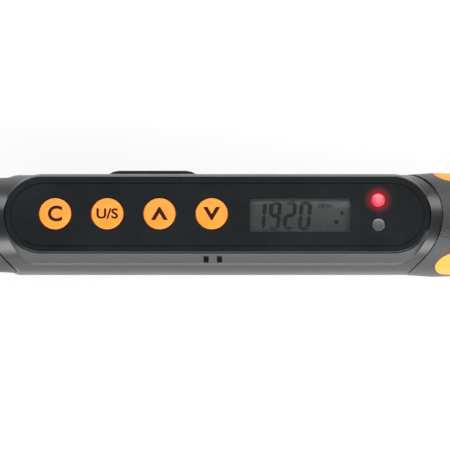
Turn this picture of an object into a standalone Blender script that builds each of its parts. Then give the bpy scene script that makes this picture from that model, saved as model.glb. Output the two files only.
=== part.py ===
"""Electronic torque wrench with a half-inch square drive, a display housing and a battery grip.

The wrench lies along +X, the display faces +Z and the square drive points down to the origin.
"""

import math

import bmesh
import bpy
from mathutils import Vector

MM = 0.001
GAP = 0.3 * MM  # between pieces that touch or seat
SHARP_EDGE = math.radians(35)

# sides of the round shapes
BODY_SIDES = 40
HEAD_SIDES = 36
TUBE_SIDES = 28
HUB_SIDES = 24
KEY_SIDES = 24
PIN_SIDES = 16
SMALL_SIDES = 12

# ratchet head
DRIVE_SIZE = 12.7 * MM
DRIVE_LENGTH = 16.0 * MM
DRIVE_CHAMFER = 1.0 * MM
DRIVE_TIP = 1.2 * MM  # length of the tapered lead at the tip
DRIVE_TAPER = 0.9
HEAD_RADIUS = 22.0 * MM
HEAD_CHAMFER = 1.8 * MM
GEAR_TEETH = 24
GEAR_DEPTH = 1.2 * MM
GEAR_TOP = 5.5 * MM
HUB_RADIUS = 8.0 * MM
COVER_THICKNESS = 2.0 * MM
COVER_TAIL_RADIUS = 8.4 * MM
COVER_SCREW_RADIUS = 1.6 * MM
COVER_SCREW_LENGTH = 6.0 * MM
PIN_RADIUS = 2.5 * MM
BALL_PROUD = 1.25 * MM
BALL_RADIUS = (DRIVE_SIZE / 2 + BALL_PROUD - PIN_RADIUS - GAP) / 2
BALL_Z = 6.0 * MM
PIN_WAIST = 1.2 * MM
PIN_SLOPE = 2.5  # length of the pin's cone over its depth
BUTTON_RADIUS = 5.2 * MM
BUTTON_TRAVEL = 2.2 * MM
BUTTON_PROUD = 2.6 * MM
BUTTON_POCKET = 6.5 * MM
LEVER_HUB = 6.0 * MM
LEVER_SHAFT = 2.5 * MM
LEVER_LENGTH = 18.0 * MM
LEVER_THICKNESS = 2.8 * MM
PAWL_WIDTH = 10.0 * MM
PAWL_POCKET_WIDTH = 13.0 * MM
PAWL_TOP = 4.0 * MM

# steel tube, sensing beam and neck
SHANK_LENGTH = 34.0 * MM
TUBE_RADIUS = 11.0 * MM
TUBE_WALL = 2.0 * MM
SPIGOT_RADIUS = 4.0 * MM
SPIGOT_LENGTH = 10.0 * MM
SHANK_IN_TUBE = 10.0 * MM
BEAM_LENGTH = 52.0 * MM
BEAM_COLLAR = 14.0 * MM
BEAM_HALF_WIDTH = 5.0 * MM
BEAM_HALF_HEIGHT = 6.0 * MM
GAUGE_SIZE = (8.0 * MM, 0.4 * MM, 6.0 * MM)
CROSS_PIN_RADIUS = 2.0 * MM
CABLE_RADIUS = 0.8 * MM
NECK_LENGTH = 79.3 * MM  # from the shank's shoulder to the display housing
COLLAR_LENGTH = 39.3 * MM
COLLAR_STEP = 1.6 * MM

# display housing
BODY_ROOM = 6.5 * MM  # from the tube to the round body's outside
BODY_WALL = 2.3 * MM
END_BLOCK = 16.5 * MM
LEFT_MARGIN = 3.5 * MM  # from the boss's ends to the housing's
RIGHT_MARGIN = 1.3 * MM
BOSS_SLOPE_HEIGHT = 5.7 * MM
BOSS_SLOPE_WIDTH = 2.6 * MM
PLATE_THICKNESS = 1.2 * MM
PLATE_LEDGE = 1.8 * MM
BEZEL_RIM = 0.35 * MM
BOARD_THICKNESS = 1.0 * MM
DISPLAY_ROOM = 2.6 * MM  # from the circuit board to the face plate
KEY_RADIUS = 5.5 * MM
KEY_FLANGE = 0.7 * MM
KEY_PITCH = 18.0 * MM
KEY_SHIFT = 0.4 * MM
KEY_PROUD = 0.2 * MM
KEY_TO_LCD = 11.15 * MM  # from the last key's centre to the LCD module
KEY_MARGIN = 4.3 * MM  # from the first key's centre to the face's round end
KEY_NAMES = ("key_clear", "key_units", "key_up", "key_down")
LCD_CENTRE = 28.6 * MM
LCD_VIEW = (34.5 * MM, 11.6 * MM)
LCD_BORDER = 2.2 * MM
LED_GAP = 7.45 * MM  # from the LCD module to the lamps
LED_RADIUS = 2.3 * MM
LED_ROWS = (("led_red", 5.3 * MM), ("led_green", -3.4 * MM))
SOUND_HOLE = 1.75 * MM
SOUND_HOLES = (-3.9 * MM, 0.7 * MM)
BUZZER_RADIUS = 3.5 * MM
BUZZER_THICKNESS = 1.6 * MM
PORT_X = -22.75 * MM
PORT_SIZE = (9.0 * MM, 5.0 * MM, 3.4 * MM)
FLAP_LENGTH = 31.2 * MM
FLAP_FLAT = 23.8 * MM
FLAP_RISE = 1.5 * MM
FLAP_ANGLE = 19.0
FLAP_SEAT = 0.7 * MM
SCREW_HEAD = 2.2 * MM
SCREW_RADIUS = 1.2 * MM
SCREW_LENGTH = 12.5 * MM
SCREW_HEAD_HEIGHT = 1.5 * MM
SCREW_INSET = 11.7 * MM

# grip, cells and end cap
GRIP_LENGTH = 186.0 * MM
GRIP_LAP = 15.5 * MM  # how far the grip's horns reach along the housing
GRIP_WALL = 3.2 * MM
GRIP_STATIONS = (
    (0.0, 0.0), (0.03, 0.2), (0.075, 0.7), (0.12, 0.3), (0.2, -0.2), (0.3, -0.3), (0.42, 0.2),
    (0.54, 0.6), (0.66, 0.2), (0.78, -0.3), (0.88, -0.1), (0.96, 0.6), (1.0, 0.5),
)  # share of the grip's length, mm outside the housing's radius
INLAY_LEAD = 2.5 * MM
INLAY_INSET = 17.0 * MM
INLAY_DEPTH = 1.5 * MM
INLAY_PROUD = 0.1 * MM
INLAY_TILT = 18.0
INLAY_HALF_ANGLE = 32.0
INLAY_TIP = 12.0 * MM
CELL_RADIUS = 7.25 * MM
CELL_LENGTH = 50.5 * MM
CELL_NUB = 1.5 * MM
CAP_LENGTH = 24.0 * MM
CAP_FLARE = 0.5 * MM
CAP_PLUG = 11.0 * MM
CAP_THREAD = 0.6 * MM
CAP_RIDGES = 3
SPRING_WIRE = 0.35 * MM

HEAD_HALF = TUBE_RADIUS + 1.5 * MM
AXIS_Z = DRIVE_LENGTH + HEAD_HALF
COVER_RADIUS = HEAD_RADIUS - 3.6 * MM
COVER_TAIL_X = HEAD_RADIUS + 2.0 * MM
GEAR_TIP = COVER_RADIUS - 3 * COVER_SCREW_RADIUS
POCKET_RADIUS = GEAR_TIP + 0.5 * MM
LEVER_X = HEAD_RADIUS - MM
PAWL_POCKET_END = HEAD_RADIUS + 5.5 * MM
BALL_X = DRIVE_SIZE / 2 + BALL_PROUD - BALL_RADIUS

SHANK_SHOULDER = HEAD_RADIUS + SHANK_LENGTH
TUBE_INNER = TUBE_RADIUS - TUBE_WALL
BEAM_START = SHANK_SHOULDER + SHANK_IN_TUBE + 2 * GAP

BODY_RADIUS = TUBE_RADIUS + BODY_ROOM
CAVITY_RADIUS = BODY_RADIUS - BODY_WALL
SADDLE_RADIUS = BODY_RADIUS + 1.6 * MM
BOARD_BOTTOM = TUBE_RADIUS + 0.7 * MM
BOARD_TOP = BOARD_BOTTOM + BOARD_THICKNESS
PLATE_BOTTOM = BOARD_TOP + DISPLAY_ROOM
PLATE_TOP = PLATE_BOTTOM + PLATE_THICKNESS
BOSS_SHOULDER = PLATE_TOP - BOSS_SLOPE_HEIGHT
BOSS_BASE_HALF = BODY_RADIUS - 1.6 * MM
PLATE_HALF = BOSS_BASE_HALF - BOSS_SLOPE_WIDTH
WINDOW_HALF = PLATE_HALF - PLATE_LEDGE
KEY_LAST = LCD_CENTRE - LCD_VIEW[0] / 2 - LCD_BORDER - KEY_TO_LCD
KEY_FIRST = KEY_LAST - 3 * KEY_PITCH
LED_X = LCD_CENTRE + LCD_VIEW[0] / 2 + LCD_BORDER + LED_GAP
BOSS_STRAIGHT = max(KEY_MARGIN - KEY_FIRST, LED_X + KEY_MARGIN)
HOUSING_LEFT = SHANK_SHOULDER + NECK_LENGTH
FACE_X = HOUSING_LEFT + LEFT_MARGIN + BOSS_STRAIGHT + BOSS_BASE_HALF
HOUSING_RIGHT = FACE_X + BOSS_STRAIGHT + BOSS_BASE_HALF + RIGHT_MARGIN
CAVITY_LEFT = HOUSING_LEFT + END_BLOCK
CAVITY_RIGHT = HOUSING_RIGHT - END_BLOCK
COLLAR_START = HOUSING_LEFT - COLLAR_LENGTH
COLLAR_FRONT_RADIUS = TUBE_RADIUS + COLLAR_STEP
COLLAR_REAR_RADIUS = BODY_RADIUS - MM
SCREW_Y = TUBE_RADIUS + SCREW_HEAD + 0.1 * MM

GRIP_START = HOUSING_RIGHT - GRIP_LAP
GRIP_END = GRIP_START + GRIP_LENGTH
GRIP_INNER = BODY_RADIUS - GRIP_WALL
INLAY_START = HOUSING_RIGHT - INLAY_LEAD
INLAY_END = GRIP_END - INLAY_INSET
TUBE_END = GRIP_END - MM
CAP_RADIUS = BODY_RADIUS + CAP_FLARE

finishes = {}


def clear_scene():
    for obj in list(bpy.data.objects):
        bpy.data.objects.remove(obj, do_unlink=True)


def finish(name, colour, roughness, metallic=0.0):
    made = bpy.data.materials.new(name)
    made.use_nodes = True
    shader = made.node_tree.nodes["Principled BSDF"]
    shader.inputs["Base Color"].default_value = (*colour, 1.0)
    shader.inputs["Roughness"].default_value = roughness
    shader.inputs["Metallic"].default_value = metallic
    finishes[name] = made


def make_finishes():
    finish("chrome_steel", (0.62, 0.63, 0.65), 0.18, 1.0)
    finish("black_steel", (0.09, 0.09, 0.1), 0.4, 1.0)
    finish("spring_steel", (0.5, 0.5, 0.52), 0.3, 1.0)
    finish("brass", (0.72, 0.5, 0.22), 0.3, 1.0)
    finish("black_plastic", (0.035, 0.038, 0.042), 0.38)
    finish("gloss_plate", (0.02, 0.023, 0.026), 0.12)
    finish("orange_plastic", (0.88, 0.34, 0.05), 0.45)
    finish("clear_plastic", (0.08, 0.09, 0.09), 0.08)
    finish("lcd_glass", (0.075, 0.085, 0.08), 0.2)
    finish("red_lens", (0.9, 0.06, 0.08), 0.2)
    finish("grey_lens", (0.2, 0.21, 0.22), 0.25)
    finish("circuit_green", (0.02, 0.16, 0.07), 0.5)
    finish("black_rubber", (0.03, 0.03, 0.03), 0.8)
    finish("orange_rubber", (0.9, 0.4, 0.06), 0.6)
    finish("grey_rubber", (0.2, 0.2, 0.2), 0.75)
    finish("cell_wrap", (0.1, 0.12, 0.16), 0.3)
    finish("cable_sheath", (0.5, 0.04, 0.03), 0.5)


def make_object(name, data, material, origin=(0, 0, 0)):
    obj = bpy.data.objects.new(name, data)
    obj.location = origin
    data.materials.append(finishes[material])
    bpy.context.scene.collection.objects.link(obj)
    return obj


def solid(name, points, faces, material, origin=(0, 0, 0)):
    """A mesh object from points in the wrench's frame, with its origin moved to the given place."""
    mesh = bpy.data.meshes.new(name)
    base = Vector(origin)
    mesh.from_pydata([Vector(point) - base for point in points], [], faces)
    shape = bmesh.new()
    shape.from_mesh(mesh)
    bmesh.ops.recalc_face_normals(shape, faces=shape.faces)
    shape.to_mesh(mesh)
    shape.free()
    mesh.shade_smooth()
    mesh.set_sharp_from_angle(angle=SHARP_EDGE)
    return make_object(name, mesh, material, origin)


def loft(name, rings, material, origin=(0, 0, 0), hollow=False):
    """Skins through rings of points. A ring of one point is a pole, and a hollow loft closes on itself."""
    points = []
    starts = []
    for ring in rings:
        starts.append(len(points))
        points.extend(ring)
    faces = []
    pairs = list(zip(range(len(rings) - 1), range(1, len(rings))))
    if hollow:
        pairs.append((len(rings) - 1, 0))
    for first, second in pairs:
        count = max(len(rings[first]), len(rings[second]))
        for i in range(count):
            j = (i + 1) % count
            corners = []
            for ring, order in ((first, (i, j)), (second, (j, i))):
                if len(rings[ring]) == 1:
                    corners.append(starts[ring])
                else:
                    corners.extend(starts[ring] + step for step in order)
            faces.append(corners)
    if not hollow:
        for ring in (0, len(rings) - 1):
            if len(rings[ring]) > 1:
                faces.append([starts[ring] + i for i in range(len(rings[ring]))])
    return solid(name, points, faces, material, origin)


def angles(count):
    return [2 * math.pi * i / count for i in range(count)]


def turned_x(name, profile, count, material, origin=(0, 0, 0), hollow=False):
    """Turns (x, radius) points about the wrench's long axis."""
    rings = []
    for x, radius in profile:
        if radius == 0:
            rings.append([(x, 0, AXIS_Z)])
        else:
            rings.append([(x, radius * math.cos(a), AXIS_Z + radius * math.sin(a)) for a in angles(count)])
    return loft(name, rings, material, origin, hollow)


def turned_z(name, profile, count, material, centre=(0, 0), origin=(0, 0, 0), hollow=False):
    """Turns (z, radius) points about an upright axis through centre."""
    rings = []
    for z, radius in profile:
        if radius == 0:
            rings.append([(centre[0], centre[1], z)])
        else:
            ring = [
                (
                    centre[0] + radius * math.cos(a), centre[1] + radius * math.sin(a), z
                ) for a in angles(count)
            ]
            rings.append(ring)
    return loft(name, rings, material, origin, hollow)


def prism(name, outline, low, high, material, origin=(0, 0, 0)):
    return loft(name, [[(x, y, z) for x, y in outline] for z in (low, high)], material, origin)


def box(name, low, high, material, origin=(0, 0, 0)):
    outline = ((low[0], low[1]), (high[0], low[1]), (high[0], high[1]), (low[0], high[1]))
    return prism(name, outline, low[2], high[2], material, origin)


def rod(name, start, end, radius, count, material, origin=(0, 0, 0)):
    """A cylinder between two points; four sides give a square bar."""
    along = (Vector(end) - Vector(start)).normalized()
    side = along.cross(Vector((1, 0, 0)) if abs(along.x) < 0.9 else Vector((0, 1, 0))).normalized()
    up = along.cross(side)
    turn = math.pi / count
    rings = []
    for centre in (Vector(start), Vector(end)):
        rings.append(
            [centre + radius * (math.cos(a + turn) * side + math.sin(a + turn) * up) for a in angles(count)]
        )
    return loft(name, rings, material, origin)


def wire(name, points, radius, material):
    data = bpy.data.curves.new(name, "CURVE")
    data.dimensions = "3D"
    data.bevel_depth = radius
    data.bevel_resolution = 0
    data.use_fill_caps = True
    spline = data.splines.new("POLY")
    spline.points.add(len(points) - 1)
    for point, place in zip(spline.points, points):
        point.co = (*place, 1.0)
    return make_object(name, data, material)


def boolean(target, tool, operation="DIFFERENCE"):
    tool.hide_render = True
    tool.display_type = "WIRE"
    step = target.modifiers.new(tool.name, "BOOLEAN")
    step.operation = operation
    step.solver = "EXACT"
    step.object = tool


def slot_outline(left, right, radius, steps=12):
    """A slot's outline: two half circles joined by straights, ending at left and right."""
    points = []
    for centre, start in ((right - radius, -math.pi / 2), (left + radius, math.pi / 2)):
        for i in range(steps + 1):
            a = start + math.pi * i / steps
            points.append((centre + radius * math.cos(a), radius * math.sin(a)))
    return points


def face_slot(half, steps=12):
    """The display's slot shape with this half width, round the face's centre."""
    reach = BOSS_STRAIGHT + half
    return slot_outline(FACE_X - reach, FACE_X + reach, half, steps)


def saddle_outline(grow=0.0):
    return slot_outline(HOUSING_LEFT - grow, HOUSING_RIGHT + grow, SADDLE_RADIUS + grow)


def oval_ring(x, half_y, half_z, power=2.0, count=24):
    """A ring across the long axis, round at power 2 and squarer above."""
    ring = []
    for a in angles(count):
        c, s = math.cos(a), math.sin(a)
        y = math.copysign(abs(c) ** (2 / power), c) * half_y
        z = math.copysign(abs(s) ** (2 / power), s) * half_z
        ring.append((x, y, AXIS_Z + z))
    return ring


def teardrop(radius, tail_x, tail_radius, steps=16):
    """A large circle at the drive's axis and a small one at tail_x, joined by their tangents."""
    lean = math.acos((radius - tail_radius) / tail_x)
    points = []
    for i in range(steps + 1):
        a = lean + (2 * math.pi - 2 * lean) * i / steps
        points.append((radius * math.cos(a), radius * math.sin(a)))
    for i in range(steps // 2 + 1):
        a = -lean + 2 * lean * i / (steps // 2)
        points.append((tail_x + tail_radius * math.cos(a), tail_radius * math.sin(a)))
    return points


def patch(name, stations, material, origin=(0, 0, 0), side=1, steps=6):
    """A curved pad on the round body: stations of x, inner and outer radius, lowest and highest angle."""
    points = []
    for x, inner, outer, low, high in stations:
        for radius in (outer, inner):
            for i in range(steps + 1):
                a = math.radians(low + (high - low) * i / steps)
                points.append((x, side * radius * math.cos(a), AXIS_Z + radius * math.sin(a)))
    row = steps + 1
    faces = []
    for i in range(len(stations) - 1):
        here, there = 2 * row * i, 2 * row * (i + 1)
        for skin in (0, row):
            faces += [
                (
                    here + skin + k, here + skin + k + 1, there + skin + k + 1, there + skin + k
                ) for k in range(steps)
            ]
        for edge in (0, steps):
            faces.append((here + edge, there + edge, there + row + edge, here + row + edge))
    for end in (0, 2 * row * (len(stations) - 1)):
        faces += [(end + k, end + k + 1, end + row + k + 1, end + row + k) for k in range(steps)]
    return solid(name, points, faces, material, origin)


def make_head():
    low, high = AXIS_Z - HEAD_HALF, AXIS_Z + HEAD_HALF
    rim = HEAD_RADIUS - HEAD_CHAMFER
    head = turned_z(
        "head_housing",
        ((low, rim), (low + HEAD_CHAMFER, HEAD_RADIUS), (high - HEAD_CHAMFER, HEAD_RADIUS), (high, rim)),
        HEAD_SIDES,
        "chrome_steel",
    )
    shank_end = SHANK_SHOULDER + SHANK_IN_TUBE
    shank_radius = TUBE_INNER - GAP
    shank = loft(
        "shank_shape",
        [
            oval_ring(0.55 * HEAD_RADIUS, 0.78 * HEAD_RADIUS, HEAD_HALF - 0.7 * MM, 4),
            oval_ring(COVER_TAIL_X, 1.15 * TUBE_RADIUS + 1.6 * MM, HEAD_HALF - 0.8 * MM, 4),
            oval_ring(COVER_TAIL_X + 12 * MM, TUBE_RADIUS + 0.8 * MM, HEAD_HALF - 1.0 * MM, 3),
            oval_ring(SHANK_SHOULDER - 7 * MM, TUBE_RADIUS, TUBE_RADIUS),
            oval_ring(SHANK_SHOULDER, TUBE_RADIUS, TUBE_RADIUS),
            oval_ring(SHANK_SHOULDER, shank_radius, shank_radius),
            oval_ring(shank_end, shank_radius, shank_radius),
            oval_ring(shank_end, SPIGOT_RADIUS, SPIGOT_RADIUS),
            oval_ring(shank_end + SPIGOT_LENGTH, SPIGOT_RADIUS, SPIGOT_RADIUS),
        ],
        "chrome_steel",
    )
    boolean(head, shank, "UNION")
    seat = low + COVER_THICKNESS + GAP
    recess_outline = teardrop(COVER_RADIUS + GAP, COVER_TAIL_X, COVER_TAIL_RADIUS + GAP)
    boolean(head, prism("cover_recess", recess_outline, low - MM, seat, "chrome_steel"))
    boolean(
        head,
        turned_z(
            "gear_pocket", ((low, POCKET_RADIUS), (AXIS_Z + GEAR_TOP + 0.5 * MM, POCKET_RADIUS)),
            HEAD_SIDES, "chrome_steel",
        ),
    )
    boolean(
        head,
        turned_z(
            "hub_bore", ((AXIS_Z, HUB_RADIUS + GAP), (high + MM, HUB_RADIUS + GAP)), HUB_SIDES,
            "chrome_steel",
        ),
    )
    half_pocket = PAWL_POCKET_WIDTH / 2
    pocket_low = (0.7 * GEAR_TIP, -half_pocket, low)
    pocket_high = (PAWL_POCKET_END, half_pocket, AXIS_Z + PAWL_TOP + 0.5 * MM)
    boolean(head, box("pawl_pocket", pocket_low, pocket_high, "chrome_steel"))
    lever_centre = (LEVER_X, 0)
    shaft_bore = ((AXIS_Z, LEVER_SHAFT + GAP), (high + MM, LEVER_SHAFT + GAP))
    boolean(head, turned_z("lever_bore", shaft_bore, PIN_SIDES, "chrome_steel", lever_centre))
    for i, place in enumerate(cover_screw_places()):
        bore = (
            (low, COVER_SCREW_RADIUS - 0.7 * MM + GAP),
            (low + COVER_SCREW_LENGTH + MM, COVER_SCREW_RADIUS - 0.7 * MM + GAP),
        )
        boolean(head, turned_z(f"cover_screw_bore_{i + 1}", bore, SMALL_SIDES, "chrome_steel", place))
    pin_bore_x = BEAM_START + BEAM_COLLAR / 2
    reach = 2 * TUBE_RADIUS
    bore = rod(
        "head_pin_bore", (pin_bore_x, -reach, AXIS_Z), (pin_bore_x, reach, AXIS_Z), CROSS_PIN_RADIUS + GAP,
        SMALL_SIDES, "chrome_steel",
    )
    boolean(head, bore)


def cover_screw_places():
    ring = (POCKET_RADIUS + COVER_RADIUS) / 2
    places = [(ring * math.cos(math.radians(a)), ring * math.sin(math.radians(a))) for a in (115, -115)]
    places.append(((PAWL_POCKET_END + COVER_TAIL_X + COVER_TAIL_RADIUS) / 2, 0))
    return places


def make_head_cover():
    low = AXIS_Z - HEAD_HALF
    outline = teardrop(COVER_RADIUS, COVER_TAIL_X, COVER_TAIL_RADIUS)
    cover = prism("head_cover", outline, low, low + COVER_THICKNESS, "black_steel")
    neck = neck_radius() + GAP
    boolean(
        cover,
        turned_z(
            "neck_bore", ((low - MM, neck), (low + COVER_THICKNESS + MM, neck)), HUB_SIDES, "black_steel"
        ),
    )
    head_height = COVER_THICKNESS * 0.6
    for i, place in enumerate(cover_screw_places()):
        wide, slim = COVER_SCREW_RADIUS + GAP, COVER_SCREW_RADIUS - 0.7 * MM + GAP
        step = low + head_height + GAP
        bore = ((low - MM, wide), (step, wide), (step, slim), (low + COVER_THICKNESS + MM, slim))
        boolean(cover, turned_z(f"cover_hole_{i + 1}", bore, SMALL_SIDES, "black_steel", place))
        shank = COVER_SCREW_RADIUS - 0.7 * MM
        profile = (
            (low + 0.1 * MM, 0), (low + 0.1 * MM, COVER_SCREW_RADIUS),
            (low + head_height, COVER_SCREW_RADIUS),
            (low + head_height, shank), (low + COVER_SCREW_LENGTH, shank), (low + COVER_SCREW_LENGTH, 0),
        )
        turned_z(f"cover_screw_{i + 1}", profile, SMALL_SIDES, "black_steel", place)


def neck_radius():
    return 0.78 * DRIVE_SIZE


def make_drive():
    low, high = AXIS_Z - HEAD_HALF, AXIS_Z + HEAD_HALF
    gear_low = low + COVER_THICKNESS + 2 * GAP
    pitch = 2 * math.pi / GEAR_TEETH
    outline = []
    for i in range(GEAR_TEETH):
        for share, radius in (
            (-0.3, GEAR_TIP - GEAR_DEPTH), (-0.08, GEAR_TIP), (0.08, GEAR_TIP), (0.3, GEAR_TIP - GEAR_DEPTH)
        ):
            a = (i + share) * pitch
            outline.append((radius * math.cos(a), radius * math.sin(a)))
    gear = prism("drive_gear", outline, gear_low, AXIS_Z + GEAR_TOP, "spring_steel", (0, 0, AXIS_Z))
    neck, top = neck_radius(), high - GAP
    shoulder = low - 0.6 * MM
    hub = turned_z(
        "drive_hub", ((shoulder, neck), (AXIS_Z, neck), (AXIS_Z, HUB_RADIUS), (top, HUB_RADIUS)), HUB_SIDES,
        "spring_steel",
    )
    boolean(gear, hub, "UNION")
    half, cut = DRIVE_SIZE / 2, DRIVE_CHAMFER
    corners = []
    for i in range(4):
        a = math.pi / 2 * i
        for x, y in ((half, -half + cut), (half, half - cut)):
            corners.append((x * math.cos(a) - y * math.sin(a), x * math.sin(a) + y * math.cos(a)))
    tip = [(x * DRIVE_TAPER, y * DRIVE_TAPER, 0.0) for x, y in corners]
    rings = [tip, [(x, y, DRIVE_TIP) for x, y in corners], [(x, y, shoulder - GAP) for x, y in corners]]
    square = loft("square_drive", rings, "spring_steel")
    pin = PIN_RADIUS + GAP
    pocket = BUTTON_RADIUS + GAP
    floor = top - BUTTON_POCKET
    gear_bore = ((shoulder - MM, pin), (floor, pin), (floor, pocket), (top + MM, pocket))
    boolean(gear, turned_z("gear_bore", gear_bore, PIN_SIDES, "spring_steel"))
    pin_bore = turned_z("pin_bore", ((BALL_Z - 4.2 * MM, pin), (shoulder, pin)), PIN_SIDES, "spring_steel")
    boolean(square, pin_bore)
    ball_bore = rod(
        "ball_bore", (0, 0, BALL_Z), (DRIVE_SIZE, 0, BALL_Z), BALL_RADIUS + 0.25 * MM, PIN_SIDES,
        "spring_steel",
    )
    boolean(square, ball_bore)


def make_release():
    top = AXIS_Z + HEAD_HALF - GAP
    floor = top - BUTTON_POCKET
    crown = top + BUTTON_PROUD
    skirt = crown - BUTTON_PROUD - 2.0 * MM
    waist = BALL_Z + BUTTON_TRAVEL
    cone = (PIN_RADIUS - PIN_WAIST) * PIN_SLOPE
    profile = (
        (BALL_Z - 1.2 * MM, 0),
        (BALL_Z - 1.2 * MM, PIN_WAIST + (waist - BALL_Z + 1.2 * MM) / PIN_SLOPE - 0.1 * MM),
        (waist, PIN_WAIST), (waist + cone, PIN_RADIUS), (skirt, PIN_RADIUS), (skirt, BUTTON_RADIUS),
        (crown - 0.8 * MM, BUTTON_RADIUS), (crown, BUTTON_RADIUS - 0.8 * MM), (crown, 0),
    )
    turned_z("release_button", profile, PIN_SIDES, "chrome_steel", origin=(0, 0, top))
    steps = 6
    ball = [
        (
            BALL_Z - BALL_RADIUS * math.cos(math.pi * i / steps),
            BALL_RADIUS * math.sin(math.pi * i / steps),
        ) for i in range(steps + 1)
    ]
    ball[0] = (ball[0][0], 0)
    ball[-1] = (ball[-1][0], 0)
    turned_z("detent_ball", ball, SMALL_SIDES, "chrome_steel", (BALL_X, 0), (BALL_X, 0, BALL_Z))
    coil = (PIN_RADIUS + BUTTON_RADIUS) / 2
    low, high = floor + 2 * GAP + SPRING_WIRE, skirt - 2 * GAP - SPRING_WIRE
    wire("release_spring", helix_z(coil, low, high, 3, 9), SPRING_WIRE, "spring_steel")


def helix_z(radius, low, high, turns, steps):
    count = turns * steps
    return [
        (
            radius * math.cos(2 * math.pi * i / steps), radius * math.sin(2 * math.pi * i / steps),
            low + (high - low) * i / count,
        )
        for i in range(count + 1)
    ]


def make_reversing_parts():
    high = AXIS_Z + HEAD_HALF
    pivot = (LEVER_X, 0, high)
    low = high + GAP
    hub = (
        (low, LEVER_HUB), (low + LEVER_THICKNESS - 0.6 * MM, LEVER_HUB),
        (low + LEVER_THICKNESS, LEVER_HUB - 0.6 * MM),
    )
    lever = turned_z("reversing_lever", hub, HUB_SIDES, "black_steel", (LEVER_X, 0), pivot)
    tail = LEVER_X + LEVER_LENGTH
    outline = (
        (LEVER_X, -LEVER_HUB + 0.6 * MM), (tail - 3 * MM, -3.6 * MM), (tail, -2.4 * MM),
        (tail, 2.4 * MM), (tail - 3 * MM, 3.6 * MM), (LEVER_X, LEVER_HUB - 0.6 * MM),
    )
    boolean(
        lever,
        prism("lever_paddle", outline, low + 0.3 * MM, low + LEVER_THICKNESS - 0.2 * MM, "black_steel"),
        "UNION",
    )
    shaft_foot = AXIS_Z - HEAD_HALF + COVER_THICKNESS + 4 * GAP
    shaft = ((shaft_foot, LEVER_SHAFT), (low + 0.5 * MM, LEVER_SHAFT))
    boolean(lever, turned_z("lever_shaft", shaft, PIN_SIDES, "black_steel", (LEVER_X, 0)), "UNION")
    half = PAWL_WIDTH / 2
    face = POCKET_RADIUS + 0.6 * MM
    spread = math.asin(half / face)
    outline = [(face * math.cos(a), face * math.sin(a)) for a in (spread * (i / 4 - 1) for i in range(9))]
    outline += [(LEVER_X - 2 * MM, half), (LEVER_X + LEVER_SHAFT + 1.8 * MM, 2.4 * MM)]
    outline += [(LEVER_X + LEVER_SHAFT + 1.8 * MM, -2.4 * MM), (LEVER_X - 2 * MM, -half)]
    pawl_low = shaft_foot + 2 * GAP
    pawl = prism("pawl", outline, pawl_low, AXIS_Z + PAWL_TOP, "spring_steel", (LEVER_X, 0, AXIS_Z))
    bore = ((pawl_low - MM, LEVER_SHAFT + GAP), (AXIS_Z + PAWL_TOP + MM, LEVER_SHAFT + GAP))
    boolean(pawl, turned_z("pawl_bore", bore, PIN_SIDES, "spring_steel", (LEVER_X, 0)))


def cross_pin(name, x, half_length, bored):
    ends = [(x, side * half_length, AXIS_Z) for side in (-1, 1)]
    rod(name, *ends, CROSS_PIN_RADIUS, SMALL_SIDES, "black_steel")
    far = [(x, side * 2 * half_length, AXIS_Z) for side in (-1, 1)]
    for piece in bored:
        boolean(
            piece,
            rod(f"{name}_bore_{piece.name}", *far, CROSS_PIN_RADIUS + GAP, SMALL_SIDES, "black_steel"),
        )


def make_beam():
    start, end = BEAM_START, BEAM_START + BEAM_LENGTH
    round_end = TUBE_INNER - GAP
    rings = []
    for x, shape in (
        (start, (round_end, round_end)),
        (start + BEAM_COLLAR, (round_end, round_end)),
        (start + BEAM_COLLAR + 2 * MM, (BEAM_HALF_WIDTH, BEAM_HALF_HEIGHT, 8)),
        (end - BEAM_COLLAR - 2 * MM, (BEAM_HALF_WIDTH, BEAM_HALF_HEIGHT, 8)),
        (end - BEAM_COLLAR, (round_end, round_end)),
        (end, (round_end, round_end)),
    ):
        rings.append(oval_ring(x, *shape, count=20))
    beam = loft("strain_beam", rings, "black_steel")
    socket = SPIGOT_RADIUS + GAP
    boolean(
        beam,
        turned_x(
            "spigot_socket", ((start - MM, socket), (start + SPIGOT_LENGTH + MM, socket)), PIN_SIDES,
            "black_steel",
        ),
    )
    notch = cable_height() - 2 * CABLE_RADIUS
    notch_low = (end - BEAM_COLLAR - 3 * MM, -2 * CABLE_RADIUS, AXIS_Z + notch)
    boolean(
        beam,
        box("cable_notch", notch_low, (end + MM, 2 * CABLE_RADIUS, AXIS_Z + TUBE_RADIUS), "black_steel"),
    )
    length, thick, tall = GAUGE_SIZE
    middle = (start + end) / 2
    for name, side in (("strain_gauge_left", 1), ("strain_gauge_right", -1)):
        inner, outer = sorted((side * (BEAM_HALF_WIDTH + GAP), side * (BEAM_HALF_WIDTH + GAP + thick)))
        box(
            name, (middle - length / 2, inner, AXIS_Z - tall / 2),
            (middle + length / 2, outer, AXIS_Z + tall / 2), "brass",
        )
    return beam


def cable_height():
    return BEAM_HALF_HEIGHT + 1.6 * MM


def make_tube(beam):
    start, end = SHANK_SHOULDER + GAP, TUBE_END
    profile = ((start, TUBE_RADIUS), (end, TUBE_RADIUS), (end, TUBE_INNER), (start, TUBE_INNER))
    tube = turned_x("core_tube", profile, TUBE_SIDES, "chrome_steel", hollow=True)
    cross_pin("beam_pin_front", BEAM_START + BEAM_COLLAR / 2, TUBE_RADIUS, (tube, beam))
    cross_pin(
        "beam_pin_rear", BEAM_START + BEAM_LENGTH - BEAM_COLLAR / 2, TUBE_RADIUS - 0.2 * MM, (tube, beam)
    )
    for name, x in (("gauge_slot", gauge_slot_x()), ("battery_slot", battery_slot_x())):
        low = (x - 6 * MM, -2.4 * MM, AXIS_Z)
        boolean(tube, box(name, low, (x + 6 * MM, 2.4 * MM, AXIS_Z + 2 * TUBE_RADIUS), "chrome_steel"))


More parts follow.
